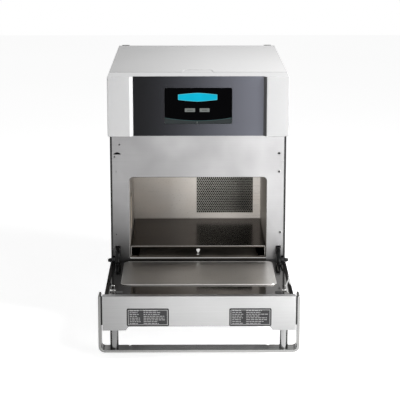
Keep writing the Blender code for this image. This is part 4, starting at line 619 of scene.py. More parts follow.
class Finishes:
    """Every finish of the oven, by the part of it that has it. The bands given to many of them are painted
    shade: they darken the colour where less light falls, mostly on the left, at the foot and at outer edges.
    """

    # The hood and the top cover are one paint in two copies, with different bands of painted shade.
    COVER = Coating(
        "cover_satin_paint", "cover_paint", (0.675, 0.675, 0.678), 0.42, stipple=1500.0, mottle=0.02,
        gloss=0.25, painted_shades=(PaintedShade(Axis.X, 0.2051, 0.2045, 0.6), PaintedShade(Axis.X, 0.17, -0.1, 0.91)))
    TOP = Coating(
        "top_satin_paint", "cover_paint", (0.67, 0.668, 0.668), 0.42, stipple=1500.0, mottle=0.02,
        gloss=0.25, painted_shades=(PaintedShade(Axis.X, -0.2, 0.03, 0.73), PaintedShade(Axis.X, 0.2045, 0.2038, 0.6)))
    # A dark paint for a strip on the hood's right slope: painted shade, where that slope falls dark.
    SLOPE_SHADE = Coating("hood_slope_painted_shade", "cover_paint", (0.11, 0.11, 0.112), 0.5, stipple=1500.0, gloss=0.1)
    FRAME = BrushedSteel(
        "frame_brushed_steel", "brushed_stainless", (0.35, 0.347, 0.35), 0.32, clouds=0.16, grain=0.03,
        painted_shades=(PaintedShade(Axis.X, -0.19, -0.07, 0.78), PaintedShade(Axis.X, 0.2, 0.15, 0.78),
               PaintedShade(Axis.Z, 0.14, 0.18, 0.5), PaintedShade(Axis.Z, 0.1, 0.24, 0.36, lean=0.25)))
    SIDE = BrushedSteel("side_brushed_steel", "brushed_stainless", (0.42, 0.42, 0.42), 0.33, Axis.Y)
    CAP = BrushedSteel(
        "door_end_brushed_steel", "brushed_stainless", (0.41, 0.41, 0.41), 0.35, clouds=0.05,
        painted_shades=(PaintedShade(Axis.X, -0.2, -0.06, 0.74), PaintedShade(Axis.Z, 0.07, 0.12, 0.9),
               PaintedShade(Axis.Z, 0.1442, 0.1436, 0.75)))
    HANDLE = BrushedSteel(
        "handle_brushed_steel", "brushed_stainless", (0.31, 0.31, 0.305), 0.22, edge_tint=0.6,
        painted_shades=(PaintedShade(Axis.X, -0.21, 0.0, 0.7),))
    POST = BrushedSteel(
        "post_turned_steel", "brushed_stainless", (0.34, 0.34, 0.34), 0.22, Axis.Z,
        painted_shades=(PaintedShade(Axis.X, -0.2, 0.1, 0.54),))
    LEG = Coating(
        "leg_zinc_plate", "galvanised_steel", (0.36, 0.36, 0.37), 0.34, stipple=1800.0, mottle=0.04,
        metal=0.9)
    ARM = Coating("arm_black_enamel", "black_steel", (0.002, 0.002, 0.002), 0.16, gloss=0.14, mottle=0.1)
    HINGE = BrushedSteel("hinge_blued_steel", "black_steel", (0.04, 0.04, 0.042), 0.36, edge_tint=0.3)
    FILTER = Coating("filter_black_sheet", "black_steel", (0.035, 0.035, 0.037), 0.4, metal=0.4, gloss=0.2)
    DARK_STEEL = BrushedSteel(
        "edge_dark_steel", "brushed_stainless", (0.05, 0.05, 0.05), 0.4, edge_tint=0.3)
    DISH = BrushedSteel("dish_dimpled_steel", "brushed_stainless", (0.3, 0.3, 0.3), 0.4)
    SIDE_LIP = BrushedSteel(
        "door_side_lip_steel", "door_lining", (0.05, 0.048, 0.047), 0.3, Axis.Y, edge_tint=0.35)
    # The sill's dark colour is mostly painted shade, where the frame falls dark above the door's pan.
    SILL_SHADE = HeatTintedSteel(
        "sill_painted_shade_steel", "brushed_stainless", (0.06, 0.055, 0.05), 0.35, tint=(0.035, 0.03, 0.026),
        tinted=0.5, edge_tint=0.4)
    BRIGHT = BrushedSteel(
        "polished_steel_edge", "brushed_stainless", (0.62, 0.62, 0.61), 0.14, clouds=0.04, grain=0.02)
    PLATE_EDGE = BrushedSteel(
        "door_plate_edge_steel", "door_lining", (0.8, 0.79, 0.78), 0.14, clouds=0.04, grain=0.02,
        painted_shades=(PaintedShade(Axis.X, -0.165, -0.15, 0.12),))
    CUT_EDGE = BrushedSteel("jetplate_cut_edge_steel", "seasoned_steel", (0.42, 0.405, 0.39), 0.3)
    CONVERTER = HoneycombCeramic("converter_honeycomb", "ceramic", (0.03, 0.027, 0.023), 0.8)
    CAVITY = HeatTintedSteel(
        "cavity_satin_steel", "cavity_stainless", (0.78, 0.755, 0.72), 0.34, tint=(0.57, 0.5, 0.43),
        tinted=0.5, metal=0.6, edge_tint=0.35, gloss=0.05,
        painted_shades=(PaintedShade(Axis.X, -0.16, 0.06, 0.46), PaintedShade(Axis.Z, 0.172, 0.178, 0.02),
               PaintedShade(Axis.X, 0.16, 0.159, 0.3)))
    SCREEN = HeatTintedSteel(
        "screen_punched_steel", "cavity_stainless", (0.56, 0.56, 0.51), 0.4, tint=(0.37, 0.34, 0.3),
        tinted=0.4)
    LINING = HeatTintedSteel(
        "door_lining_steel", "door_lining", (0.18, 0.174, 0.168), 0.07, tint=(0.11, 0.1, 0.09),
        tinted=0.35, clouds=0.05, grain=0.02, edge_tint=0.75, painted_shades=(PaintedShade(Axis.X, -0.2, -0.08, 0.04),))
    PLATE = HeatTintedSteel(
        "door_plate_steel", "door_lining", (0.88, 0.865, 0.84), 0.34, tint=(0.45, 0.41, 0.36), tinted=0.3,
        clouds=0.05, grain=0.03, painted_shades=(PaintedShade(Axis.X, -0.17, 0.16, 0.4),))
    TRAY = HeatTintedSteel(
        "jetplate_seasoned_steel", "seasoned_steel", (0.085, 0.073, 0.064), 0.2,
        tint=(0.05, 0.038, 0.03), tinted=0.6, edge_tint=0.54)
    ZINC = ZincSheet("zinc_coated_steel", "galvanised_steel", (0.5, 0.51, 0.53), 0.38)
    ENAMEL = Coating("black_satin_steel", "black_steel", (0.006, 0.006, 0.0065), 0.34, gloss=0.15)
    PANEL = GraduatedPanel("fascia_overlay", "black_gloss", (0.009, 0.009, 0.0095), 0.34)
    GLASS = Coating(
        "display_black_glass", "black_gloss", (0.0012, 0.0012, 0.0015), 0.08, stipple=40.0,
        depth=0.000002, mottle=0.2, gloss=0.015)
    PLASTIC = Coating("black_moulded_plastic", "black_plastic", (0.03, 0.03, 0.031), 0.5, gloss=0.2)
    DATA_EDGE = Coating(
        "data_plate_outline", "black_plastic", (0.007, 0.007, 0.0075), 0.6, stipple=2200.0, gloss=0.0)
    DATA = Coating(
        "data_plate_grey", "black_plastic", (0.06, 0.06, 0.062), 0.6, stipple=2200.0, gloss=0.03)
    DATA_INK = Coating("data_plate_ink", "black_plastic", (0.42, 0.42, 0.42), 0.5, mottle=0.2, gloss=0.1)
    RUBBER = Coating("black_rubber", "black_rubber", (0.012, 0.012, 0.012), 0.75, depth=0.00006, gloss=0.0)
    BOARD = PrintedBoard("circuit_board_green", "circuit_board", (0.02, 0.14, 0.06), 0.4)
    WOOL = Wool("mineral_wool", "mineral_wool", (0.72, 0.7, 0.62), 0.9)
    CERAMIC = Coating(
        "fired_ceramic", "ceramic", (0.5, 0.44, 0.36), 0.7, stipple=400.0, depth=0.0001, mottle=0.15)
    CLIP = Coating("clip_white_plastic", "white_plastic", (0.36, 0.36, 0.35), 0.4)
    BANNER = LitPrint("screen_banner_lit", "black_gloss", (0.0, 0.47, 0.68), 0.3)
    BANNER_RIM = LitPrint("screen_banner_rim_lit", "black_gloss", (0.12, 0.62, 0.72), 0.3)
    KEY = LitPrint("screen_key_lit", "black_gloss", (0.2, 0.215, 0.205), 0.3)
    KEY_DASH = LitPrint("screen_key_dash_lit", "black_gloss", (0.07, 0.08, 0.075), 0.3)
    BAND = LitPrint("screen_band_print", "black_gloss", (0.035, 0.042, 0.043), 0.3)
    LINE = LitPrint("screen_line_lit", "black_gloss", (0.06, 0.13, 0.13), 0.3)


# Shapes


def as_piece(name: str, source: Shape | bpy.types.Mesh, finish: Finish) -> Piece:
    """Makes an object of a mesh and gives it its finish.

    Args:
        name: The piece's name.
        source: The shape, as an edit mesh, which is then freed, or as a mesh.
        finish: The piece's finish.

    Returns:
        The new object, linked to the scene.
    """
    mesh = source
    if isinstance(source, Shape):
        mesh = bpy.data.meshes.new(name)
        source.to_mesh(mesh)
        source.free()
    made = bpy.data.objects.new(name, mesh)
    mesh.materials.clear()
    mesh.materials.append(finish.material())
    bpy.context.scene.collection.objects.link(made)
    return made


def seated(piece: Piece, body: Body, finish: Finish, *nodes: str) -> Piece:
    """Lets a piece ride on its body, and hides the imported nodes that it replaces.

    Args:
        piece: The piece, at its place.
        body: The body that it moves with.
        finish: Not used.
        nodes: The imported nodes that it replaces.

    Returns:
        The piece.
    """
    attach(piece, body.value)
    if nodes:
        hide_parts(*nodes)
    LOG.info("%s rides on %s: %d faces", piece.name, body.value, len(piece.data.polygons))
    return piece


def plain(piece: Piece) -> Piece:
    """Turns the modifiers of a piece that isn't on a body yet into its mesh."""
    mesh = bpy.data.meshes.new_from_object(piece.evaluated_get(bpy.context.evaluated_depsgraph_get()))
    old = piece.data
    piece.modifiers.clear()
    piece.data = mesh
    bpy.data.meshes.remove(old)
    mesh.name = piece.name
    return piece


def softened(piece: Piece, width: float, segments: int = 2) -> Piece:
    """Rounds a piece's edges a little and shades it smooth.

    Args:
        piece: The piece.
        width: The width of the rounding, or 0 for none.
        segments: How many faces there are across the rounding.

    Returns:
        The same object with a plain mesh.
    """
    piece.data.shade_smooth()
    if not width:
        piece.data.set_sharp_from_angle(angle=SMOOTH_TURN)
        return piece
    edge = piece.modifiers.new("edge", "BEVEL")
    edge.width, edge.segments = width, segments
    edge.limit_method, edge.angle_limit = "ANGLE", EDGE_TURN
    piece.modifiers.new("even", "WEIGHTED_NORMAL").keep_sharp = True
    return plain(piece)


def merged_copy(node: str) -> Shape:
    """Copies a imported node's shape, with its loose triangles joined into whole faces."""
    shape = bmesh.new()
    shape.from_mesh(frame["nodes"][node].data)
    bmesh.ops.remove_doubles(shape, verts=shape.verts, dist=WELD)
    bmesh.ops.dissolve_limit(shape, angle_limit=FLAT_TURN, verts=shape.verts, edges=shape.edges)
    return shape


def blocks(*boxes: tuple[Span, Span, Span], shape: Shape | None = None) -> Shape:
    """Makes a shape of boxes, or adds them to one.

    Args:
        boxes: Each box's spans along X, Y and Z.
        shape: The shape that they are added to.

    Returns:
        The shape.
    """
    shape = shape or bmesh.new()
    for box in boxes:
        size = Matrix.Diagonal([high - low for low, high in box] + [1.0])
        place = Matrix.Translation([middle(span) for span in box])
        bmesh.ops.create_cube(shape, size=1.0, matrix=place @ size)
    return shape


def arc(centre: tuple[float, float], radius: float, start: float, stop: float, count: int) -> list:
    """Gives the points of an arc in a plane.

    Args:
        centre: The arc's centre.
        radius: Its radius.
        start: The angle that it starts at, in radians.
        stop: The angle that it ends at.
        count: How many steps it has.

    Returns:
        The points.
    """
    return [(centre[0] + radius * math.cos(t), centre[1] + radius * math.sin(t))
            for t in steps((start, stop), count)]


def rounded(x: Span, z: Span, radius: float, count: int = 6, foot: float | None = None) -> list:
    """Gives the outline of a rectangle with round corners.

    Args:
        x: The span across.
        z: The span up.
        radius: The corners' radius.
        count: How many steps each corner has.
        foot: The lower two corners' radius, where it is another one.

    Returns:
        The points, anticlockwise.
    """
    points = []
    for right, upper, turn in ((1, 0, 3), (1, 1, 0), (0, 1, 1), (0, 0, 2)):
        own = radius if upper or not foot else foot
        centre = (inset(x, own)[right], inset(z, own)[upper])
        points += arc(centre, own, turn * math.pi / 2, (turn + 1) * math.pi / 2, count)
    return points


def placed(line: Outline, axis: Axis, at: float) -> list[list[float]]:
    """Puts a flat outline into space, square to an axis at a place on it."""
    return [[*point[:axis.value], at, *point[axis.value:]] for point in line]


def skinned(sides: Sequence[tuple[Outline, float]], axis: Axis) -> Shape:
    """Joins flat outlines with the same number of points by a skin that closes on itself.

    Args:
        sides: The outlines, each with its place on the axis.
        axis: The axis that they are square to.

    Returns:
        The closed shape.
    """
    shape = bmesh.new()
    lines = [[shape.verts.new(place) for place in placed(line, axis, at)] for line, at in sides]
    for first, second in zip(lines, [*lines[1:], lines[0]]):
        for i in range(-1, len(first) - 1):
            shape.faces.new((first[i], first[i + 1], second[i + 1], second[i]))
    bmesh.ops.recalc_face_normals(shape, faces=shape.faces)
    return shape


def ring(outer: Outline, inner: Outline, axis: Axis, span: Span) -> Shape:
    """Extrudes the strip between two outlines that have the same number of points."""
    return skinned(((outer, span[0]), (inner, span[0]), (inner, span[1]), (outer, span[1])), axis)


def lifted(outline: Outline, axis: Axis, span: Span) -> Shape:
    """Extrudes a flat outline along an axis.

    Args:
        outline: The points in the plane of the other two axes, in their order.
        axis: The axis that it is extruded along.
        span: Where it starts and ends.

    Returns:
        The closed shape.
    """
    shape = bmesh.new()
    face = shape.faces.new([shape.verts.new(place) for place in placed(outline, axis, span[0])])
    top = bmesh.ops.extrude_face_region(shape, geom=[face])["geom"]
    moved = [part for part in top if isinstance(part, bmesh.types.BMVert)]
    bmesh.ops.translate(shape, vec=axis.vector(span[1] - span[0]), verts=moved)
    bmesh.ops.recalc_face_normals(shape, faces=shape.faces)
    return shape


def turned(profile: Outline, centre: Point, axis: Axis, count: int = 48) -> Shape:
    """Turns a profile about an axis.

    Args:
        profile: Points of radius and distance along the axis.
        centre: A point on the axis, where the distance is 0.
        axis: The axis.
        count: How many steps the turn has.

    Returns:
        The closed shape.
    """
    shape = bmesh.new()
    verts = [shape.verts.new(Vector(centre) + Axis.X.vector(radius) + axis.vector(along))
             for radius, along in profile]
    for pair in zip(verts, verts[1:]):
        shape.edges.new(pair)
    bmesh.ops.spin(shape, geom=shape.verts[:] + shape.edges[:], cent=centre, axis=axis.vector(),
                   angle=math.tau, steps=count, use_merge=True)
    bmesh.ops.remove_doubles(shape, verts=shape.verts, dist=WELD)
    bmesh.ops.recalc_face_normals(shape, faces=shape.faces)
    return shape


def carve(piece: Piece, cutter: Shape) -> None:
    """Cuts a shape, which is then freed, out of a piece that isn't on a body yet."""
    tool = as_piece("cutter", cutter, Finishes.ZINC)
    cut = piece.modifiers.new("cut", "BOOLEAN")
    cut.operation, cut.solver, cut.object = "DIFFERENCE", "EXACT", tool
    plain(piece)
    bpy.data.objects.remove(tool)


def seam_box(over: float = 0.0) -> tuple[Span, Span, Span]:
    """Gives the spans of the groove between the hood's top and the cover's, or higher by over."""
    x, y, z = spans("top_cover")
    seam = middle((y[0], spans("hood_bezel")[1][1]))
    return inset(x, SHEET), about(seam, SHEET), (z[1] - AIR * 2, z[1] + over)


# Repeated shapes


class ShapeGraph(Graph):
    """A Geometry Nodes tree with named sizes, run on a mesh to make a plain piece."""

    def __init__(self, name: str) -> None:
        """Starts a tree of that name."""
        super().__init__(bpy.data.node_groups.new(name, "GeometryNodeTree"))
        self.inputs: dict[str, str] = {}
        self.entry = self.add("NodeGroupInput")
        self.points = self.size("Points", "Geometry")
        self.tree.interface.new_socket("Shape", in_out="OUTPUT", socket_type="NodeSocketGeometry")

    def size(self, name: str, kind: str = "Float") -> Socket:
        """Adds a named input, of one of Blender's types, and gives its socket."""
        socket = self.tree.interface.new_socket(name, in_out="INPUT", socket_type="NodeSocket" + kind)
        self.inputs[name] = socket.identifier
        return self.entry.outputs[name]

    def made(self, kind: str, inputs: dict | None = None, **settings: object) -> Socket:
        """Adds one of the geometry nodes, as add does, and gives its first output."""
        return self.add("GeometryNode" + kind, inputs, **settings).outputs[0]

    def vector(self, x: object, y: object, z: object) -> Socket:
        """Joins three numbers or sockets into a vector."""
        return self.add("ShaderNodeCombineXYZ", {0: x, 1: y, 2: z}).outputs[0]

    def raised(self, shape: Socket, height: Socket) -> Socket:
        """Moves a shape up."""
        return self.made("Transform", {"Geometry": shape, "Translation": self.vector(0.0, 0.0, height)})

    def close(self, shape: Socket) -> None:
        """Ends the tree: the copies become real, are joined and get their material."""
        whole = self.made("MergeByDistance", {"Geometry": self.made("RealizeInstances", {0: shape}),
                                              "Distance": WELD})
        dressed = self.made("SetMaterial", {"Geometry": whole, "Material": self.size("Finish", "Material")})
        self.feed(self.add("NodeGroupOutput").inputs[0], dressed)

    def run(self, name: str, source: Shape, finish: Finish, **sizes: object) -> Piece:
        """Makes a plain piece with this tree.

        Args:
            name: The piece's name.
            source: The mesh that the tree starts from. It is freed.
            finish: The piece's finish.
            sizes: The tree's inputs, by name.

        Returns:
            The piece, at the origin.
        """
        piece = as_piece(name, source, finish)
        modifier = piece.modifiers.new("repeat", "NODES")
        modifier.node_group = self.tree
        for key, value in {**sizes, "Finish": finish.material()}.items():
            modifier[self.inputs[key]] = value
        return softened(plain(piece), 0.0)


@dataclass(frozen=True)
class ScrewHead:
    """A domed screw head with a cross recess. Its sizes are shares of its radius or height."""

    height: float = 0.55
    rim: float = 0.35
    dome: float = 0.65
    crown: float = 0.62
    bar_length: float = 1.1
    bar_width: float = 0.24
    bar_place: float = 0.95
    sides: int = 24
    seed: int = 7

    def tree(self) -> ShapeGraph:
        """Builds the tree that puts a head on each point, turned by chance.

        Returns:
            The tree.
        """
        graph = ShapeGraph("fasteners")
        radius, height, facing = graph.size("Radius"), graph.size("Height"), graph.size("Facing", "Vector")
        rim = graph.times(height, self.rim)
        tiers = ((radius, rim), (graph.times(radius, self.crown), graph.times(height, self.dome)))
        washer, crown = [
            graph.made("MeshCone", {
                "Vertices": self.sides, "Radius Top": top, "Radius Bottom": radius, "Depth": depth})
            for top, depth in tiers]
        head = graph.made("MeshBoolean", {"Mesh 2": [washer, graph.raised(crown, rim)]}, operation="UNION")
        long, thin = graph.times(radius, self.bar_length), graph.times(radius, self.bar_width)
        bars = [graph.made("MeshCube", {"Size": graph.vector(*size, height)})
                for size in ((long, thin), (thin, long))]
        cross = graph.raised(graph.made("JoinGeometry", {0: bars}), graph.times(height, self.bar_place))
        cut = graph.made("MeshBoolean", {"Mesh 1": head, "Mesh 2": cross})
        aimed = graph.add("FunctionNodeAlignRotationToVector", {"Vector": facing}, axis="Z").outputs[0]
        chance = graph.add("FunctionNodeRandomValue", {"Max": math.tau, "Seed": self.seed}).outputs
        angle = next(socket for socket in chance if socket.enabled)
        spin = graph.add("FunctionNodeAxisAngleToRotation", {"Axis": (0.0, 0.0, 1.0), "Angle": angle})
        turn = graph.add("FunctionNodeRotateRotation", {0: aimed, 1: spin.outputs[0]},
                         rotation_space="LOCAL")
        graph.close(graph.made("InstanceOnPoints", {
            "Points": graph.points, "Instance": cut, "Rotation": turn.outputs[0]}))
        return graph


def perforation_tree() -> ShapeGraph:
    """Builds the tree of the punched sheet: hexagonal cells with round holes, and a solid rim.

    Returns:
        The tree.
    """
    graph = ShapeGraph("punched_sheet")
    columns, rows = graph.size("Columns", "Int"), graph.size("Rows", "Int")
    pitch, hole, gauge = graph.size("Pitch"), graph.size("Hole"), graph.size("Gauge")
    corner = graph.size("Corner", "Vector")
    half = graph.maths("DIVIDE", pitch, math.sqrt(3))
    deep = graph.times(gauge, 2.0)
    solid = graph.made("MeshCylinder", {"Vertices": HEX_SIDES, "Radius": half, "Depth": gauge})
    drill = graph.made("MeshCylinder", {"Vertices": HOLE_SIDES, "Radius": hole, "Depth": deep})
    punched = graph.made("MeshBoolean", {"Mesh 1": solid, "Mesh 2": drill})
    index = graph.made("InputIndex")
    row = graph.maths("FLOOR", graph.maths("DIVIDE", index, columns))
    column = graph.maths("FLOORED_MODULO", index, columns)
    shift = graph.times(graph.maths("FLOORED_MODULO", row, 2.0), 0.5)
    across = graph.times(graph.maths("ADD", column, shift), pitch)
    up = graph.times(row, graph.times(pitch, HEX_RISE))
    place = graph.add("ShaderNodeVectorMath", {0: graph.vector(across, 0.0, up), 1: corner})
    points = graph.made("Points", {"Count": graph.times(columns, rows), "Position": place.outputs[0]})
    rim = graph.maths("MAXIMUM", *[graph.maths("LESS_THAN", value, 0.5) for value in (column, row)])
    for value, count in ((column, columns), (row, rows)):
        last = graph.maths("GREATER_THAN", value, graph.maths("SUBTRACT", count, 1.5))
        rim = graph.maths("MAXIMUM", rim, last)
    turn = (math.pi / 2, math.pi / HEX_SIDES, 0.0)
    layers = [
        graph.made("InstanceOnPoints", {
            "Points": points, "Selection": chosen, "Instance": cell, "Rotation": turn})
        for cell, chosen in ((solid, rim), (punched, graph.maths("SUBTRACT", 1.0, rim)))]
    graph.close(graph.made("JoinGeometry", {0: layers}))
    return graph


def row_tree() -> ShapeGraph:
    """Builds the tree that repeats the given mesh in a straight row."""
    graph = ShapeGraph("row_of_copies")
    count, step = graph.size("Count", "Int"), graph.size("Step", "Vector")
    line = graph.made("MeshLine", {"Count": count, "Offset": step})
    graph.close(graph.made("InstanceOnPoints", {"Points": line, "Instance": graph.points}))
    return graph


@dataclass
class Trees:
    """The Geometry Nodes trees that the sub-assemblies share."""

    fasteners: ShapeGraph
    punched: ShapeGraph
    row: ShapeGraph


# Sub-assemblies


@dataclass
class Assembly:
    """A group of pieces that belong together.

    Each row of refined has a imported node's name, the finish, the width of the rounding and,
    where it isn't 2, its number of faces.
    """

    trees: Trees
    body: Body = Body.OVEN
    refined: tuple[tuple, ...] = ()

    def build(self) -> None:
        """Makes the pieces of the refined nodes."""
        for row in self.refined:
            self.refine(*row)

    def dress(self) -> None:
        """Adds the small parts and marks. Some groups have none."""

    def refine(self, node: str, finish: Finish, width: float, segments: int = 2,
               cutters: Iterable[Shape] = ()) -> None:
        """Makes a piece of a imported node, with softened edges, and puts it in the node's place.

        Args:
            node: The node's name.
            finish: The piece's finish.
            width: The width of the rounding.
            segments: How many faces there are across the rounding.
            cutters: Shapes that are cut out of it, one after the other.
        """
        piece = as_piece(f"{node}_dressed", merged_copy(node), finish)
        for cutter in cutters:
            carve(piece, cutter)
        seated(softened(piece, width, segments), self.body, finish, node)

    def add(self, name: str, shape: Shape, finish: Finish, *nodes: str, width: float = 0.0,
            segments: int = 2) -> None:
        """Makes a piece of a new shape.

        Args:
            name: The piece's name.
            shape: The shape, in the frame.
            finish: The piece's finish.
            nodes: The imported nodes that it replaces.
            width: The width of the rounding of its edges.
            segments: How many faces there are across the rounding.
        """
        seated(softened(as_piece(name, shape, finish), width, segments), self.body, finish, *nodes)

    def screws(self, name: str, places: Iterable[Point], facing: Vector, radius: float,
               finish: Finish = Finishes.HANDLE) -> None:
        """Puts screw heads on points of one flat face, as one piece.

        Args:
            name: The piece's name.
            places: The heads' middles, on the face.
            facing: The way that the face looks.
            radius: The heads' radius.
            finish: The heads' finish.
        """
        points = bmesh.new()
        for place in places:
            points.verts.new(place)
        piece = self.trees.fasteners.run(
            name, points, finish, Radius=radius, Height=radius * ScrewHead.height, Facing=facing)
        seated(piece, self.body, finish)


@dataclass
class PunchedAssembly(Assembly):
    """A group of pieces with a punched sheet."""

    pitch: float = 0.005
    hole: float = 0.0023
    gauge: float = 0.0008
    spare_cells: int = 4

    def add_sheet(self, name: str, field: tuple[Span, Span], front: float, finish: Finish,
                  *nodes: str) -> None:
        """Adds the sheet.

        Args:
            name: The piece's name.
            field: The spans along X and Z that it covers.
            front: Its front's place along Y.
            finish: The piece's finish.
            nodes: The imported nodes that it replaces.
        """
        rise = self.pitch * HEX_RISE
        columns, rows = (int((span[1] - span[0]) / step) + self.spare_cells
                         for span, step in zip(field, (self.pitch, rise)))
        corner = Vector((
            middle(field[0]) - (columns - 0.5) * self.pitch / 2,
            front + self.gauge / 2,
            middle(field[1]) - (rows - 1) * rise / 2,
        ))
        piece = self.trees.punched.run(
            name, bmesh.new(), finish, Columns=columns, Rows=rows, Pitch=self.pitch, Hole=self.hole,
            Gauge=self.gauge, Corner=corner)
        seated(piece, self.body, finish, *nodes)


@dataclass
class Cabinet(Assembly):
    """The outer case: top cover, sides, base, back and legs.

    A leg's or pad's profile is in shares of its half width and its height.
    """

    refined: tuple[tuple, ...] = (
        ("left_side_panel", Finishes.SIDE, SHEET_EDGE), ("right_side_panel", Finishes.SIDE, SHEET_EDGE),
        ("rear_panel", Finishes.ZINC, SHEET_EDGE), ("base_pan", Finishes.ZINC, SHEET_EDGE))
    cover_edge: float = 0.0011
    leg_profile: Outline = (
        (0.0, 1.0), (1.0, 1.0), (1.0, 0.965), (0.8, 0.95), (0.75, 0.88), (0.64, 0.09), (0.61, 0.08),
        (0.61, 0.05), (0.64, 0.04), (0.62, 0.0), (0.0, 0.0))
    pad_profile: Outline = (
        (0.0, 1.0), (0.9, 1.0), (1.0, 0.84), (0.95, 0.55), (0.95, 0.45), (1.0, 0.16), (0.92, 0.0), (0.0, 0.0))
    screw_radius: float = 0.0034
    screw_inset: float = 0.009
    pull_half: float = 0.031
    pull_foot_half: float = 0.036
    pull_depth: float = 0.042
    pull_sink: float = 0.0007
    louvre_width: float = 0.0075
    louvre_rise: float = 0.003
    louvre_gauge: float = 0.0006
    louvre_end: float = 0.006
    louvre_end_steps: Sequence[float] = (0.0, 0.3, 0.65, 1.0)
    louvre_steps: int = 6
    louvre_count: int = 8
    louvre_pitch: float = 0.010
    louvre_first: float = 0.24555
    louvre_z: Span = (0.4285, 0.4915)
    spacer_x: Span = (0.177, 0.197)
    spacer_z: Span = (0.572, 0.589)
    spacer_reach: float = 0.017
    spacer_edge: float = 0.002

    def build(self) -> None:
        """Builds the case, the turned legs and their rubber pads."""
        cutters = (self.pull(), blocks(seam_box(SHEET)))
        self.refine("top_cover", Finishes.TOP, self.cover_edge, 3, cutters)
        super().build()
        for place in ("front_left", "front_right", "rear_left", "rear_right"):
            self.add_turned(f"leg_{place}", self.leg_profile, Finishes.LEG, PLATE_EDGE)
            self.add_turned(f"leg_pad_{place}", self.pad_profile, Finishes.RUBBER, MOULDED_EDGE)

    def pull(self) -> Shape:
        """Makes the cutter of the shallow hand dimple in the cover's front edge."""
        _, (front, _), (_, top) = spans("top_cover")
        near, far = front - SHEET, front + self.pull_depth
        outline = [(-self.pull_foot_half, near), (self.pull_foot_half, near),
                   (self.pull_half, far), (-self.pull_half, far)]
        return lifted(outline, Axis.Z, (top - self.pull_sink, top + SHEET))

    def add_turned(self, node: str, profile: Outline, finish: Finish, width: float) -> None:
        """Turns one leg or pad.

        Args:
            node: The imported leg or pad.
            profile: Its profile.
            finish: Its finish.
            width: The width of the rounding of its edges.
        """
        x, y, z = spans(node)
        points = [((x[1] - x[0]) / 2 * out, (z[1] - z[0]) * up) for out, up in profile]
        shape = turned(points, (middle(x), middle(y), z[0]), Axis.Z)
        self.add(f"{node}_turned", shape, finish, node, width=width)

    def dress(self) -> None:
        """Adds the louvres, the screws and the wall spacers."""
        for side in Side:
            self.add_louvres(side)
            self.add_side_screws(side)
        self.add_rear_screws()
        back = spans("top_cover")[1][1]
        reach = (back, back + self.spacer_reach)
        spacers = blocks(*[(side.span(*self.spacer_x), reach, self.spacer_z) for side in Side])
        self.add("wall_spacers", spacers, Finishes.RUBBER, width=self.spacer_edge, segments=3)

    def add_louvres(self, side: Side) -> None:
        """Adds the pressed hoods over one side panel's slots.

        Args:
            side: The panel's side.
        """
        hood = as_piece("louvre_hood", self.louvre_hood(side), Finishes.SIDE)
        gauge = hood.modifiers.new("gauge", "SOLIDIFY")
        gauge.thickness, gauge.offset = self.louvre_gauge, 0
        mesh = plain(hood).data
        source = bmesh.new()
        source.from_mesh(mesh)
        bpy.data.objects.remove(hood)
        bpy.data.meshes.remove(mesh)
        row = self.trees.row.run(f"side_louvres_{side.label}", source, Finishes.SIDE,
                                 Count=self.louvre_count, Step=Axis.Y.vector(self.louvre_pitch))
        seated(row, self.body, Finishes.SIDE)

    def louvre_hood(self, side: Side) -> Shape:
        """Makes one hood as an open sheet that swells from the wall and closes at both ends.

        Args:
            side: The panel's side.

        Returns:
            The sheet.
        """
        shape = bmesh.new()
        low, high = self.louvre_z
        wall = side.value * spans("top_cover")[0][1]
        ends = [self.louvre_end * share for share in self.louvre_end_steps]
        rows = []
        for z in [low + end for end in ends] + [high - end for end in reversed(ends)]:
            near = min(z - low, high - z, self.louvre_end) / self.louvre_end
            rise = self.louvre_rise * math.sqrt(max(1 - (1 - near) ** 2, 0.0))
            rows.append([
                shape.verts.new((wall + side.value * rise * math.sin(turn),
                                 self.louvre_first + self.louvre_width * (0.5 - math.cos(turn)), z))
                for turn in steps((0.0, math.pi / 2), self.louvre_steps)])
        for first, second in zip(rows, rows[1:]):
            for i in range(len(first) - 1):
                shape.faces.new((first[i], first[i + 1], second[i + 1], second[i]))
        return shape

    def add_side_screws(self, side: Side) -> None:
        """Adds the screws along the foot and the back of one side.

        Args:
            side: The panel's side.
        """
        x, y, z = spans("left_side_panel")
        wall, (foot, top) = side.value * abs(x[0]), inset(z, self.screw_inset)
        near, far = y[0] + self.screw_inset * 2, y[1] - self.screw_inset
        places = [(wall, along, foot) for along in steps((near, far), 3)]
        places += [(wall, far, level) for level in steps((foot, top), 3)[1:]]
        self.screws(f"side_screws_{side.label}", places, Axis.X.vector(side.value), self.screw_radius)

    def add_rear_screws(self) -> None:
        """Adds the screws round the back, and the fan's four."""
        wall, way = spans("top_cover")[1][1], Axis.Y.vector()
        across, up = (steps(inset(span, self.screw_inset), 3) for span in spans("rear_panel")[::2])
        places = [(x, wall, z) for x in (across[0], across[-1]) for z in up]
        places += [(x, wall, z) for z in (up[0], up[-1]) for x in across[1:-1]]
        self.screws("rear_screws", places, way, self.screw_radius)
        across, up = (inset(span, self.screw_inset) for span in spans("cooling_fan_frame")[::2])
        corners = [(x, wall, z) for x in across for z in up]
        self.screws("fan_screws", corners, way, self.screw_radius, Finishes.ENAMEL)


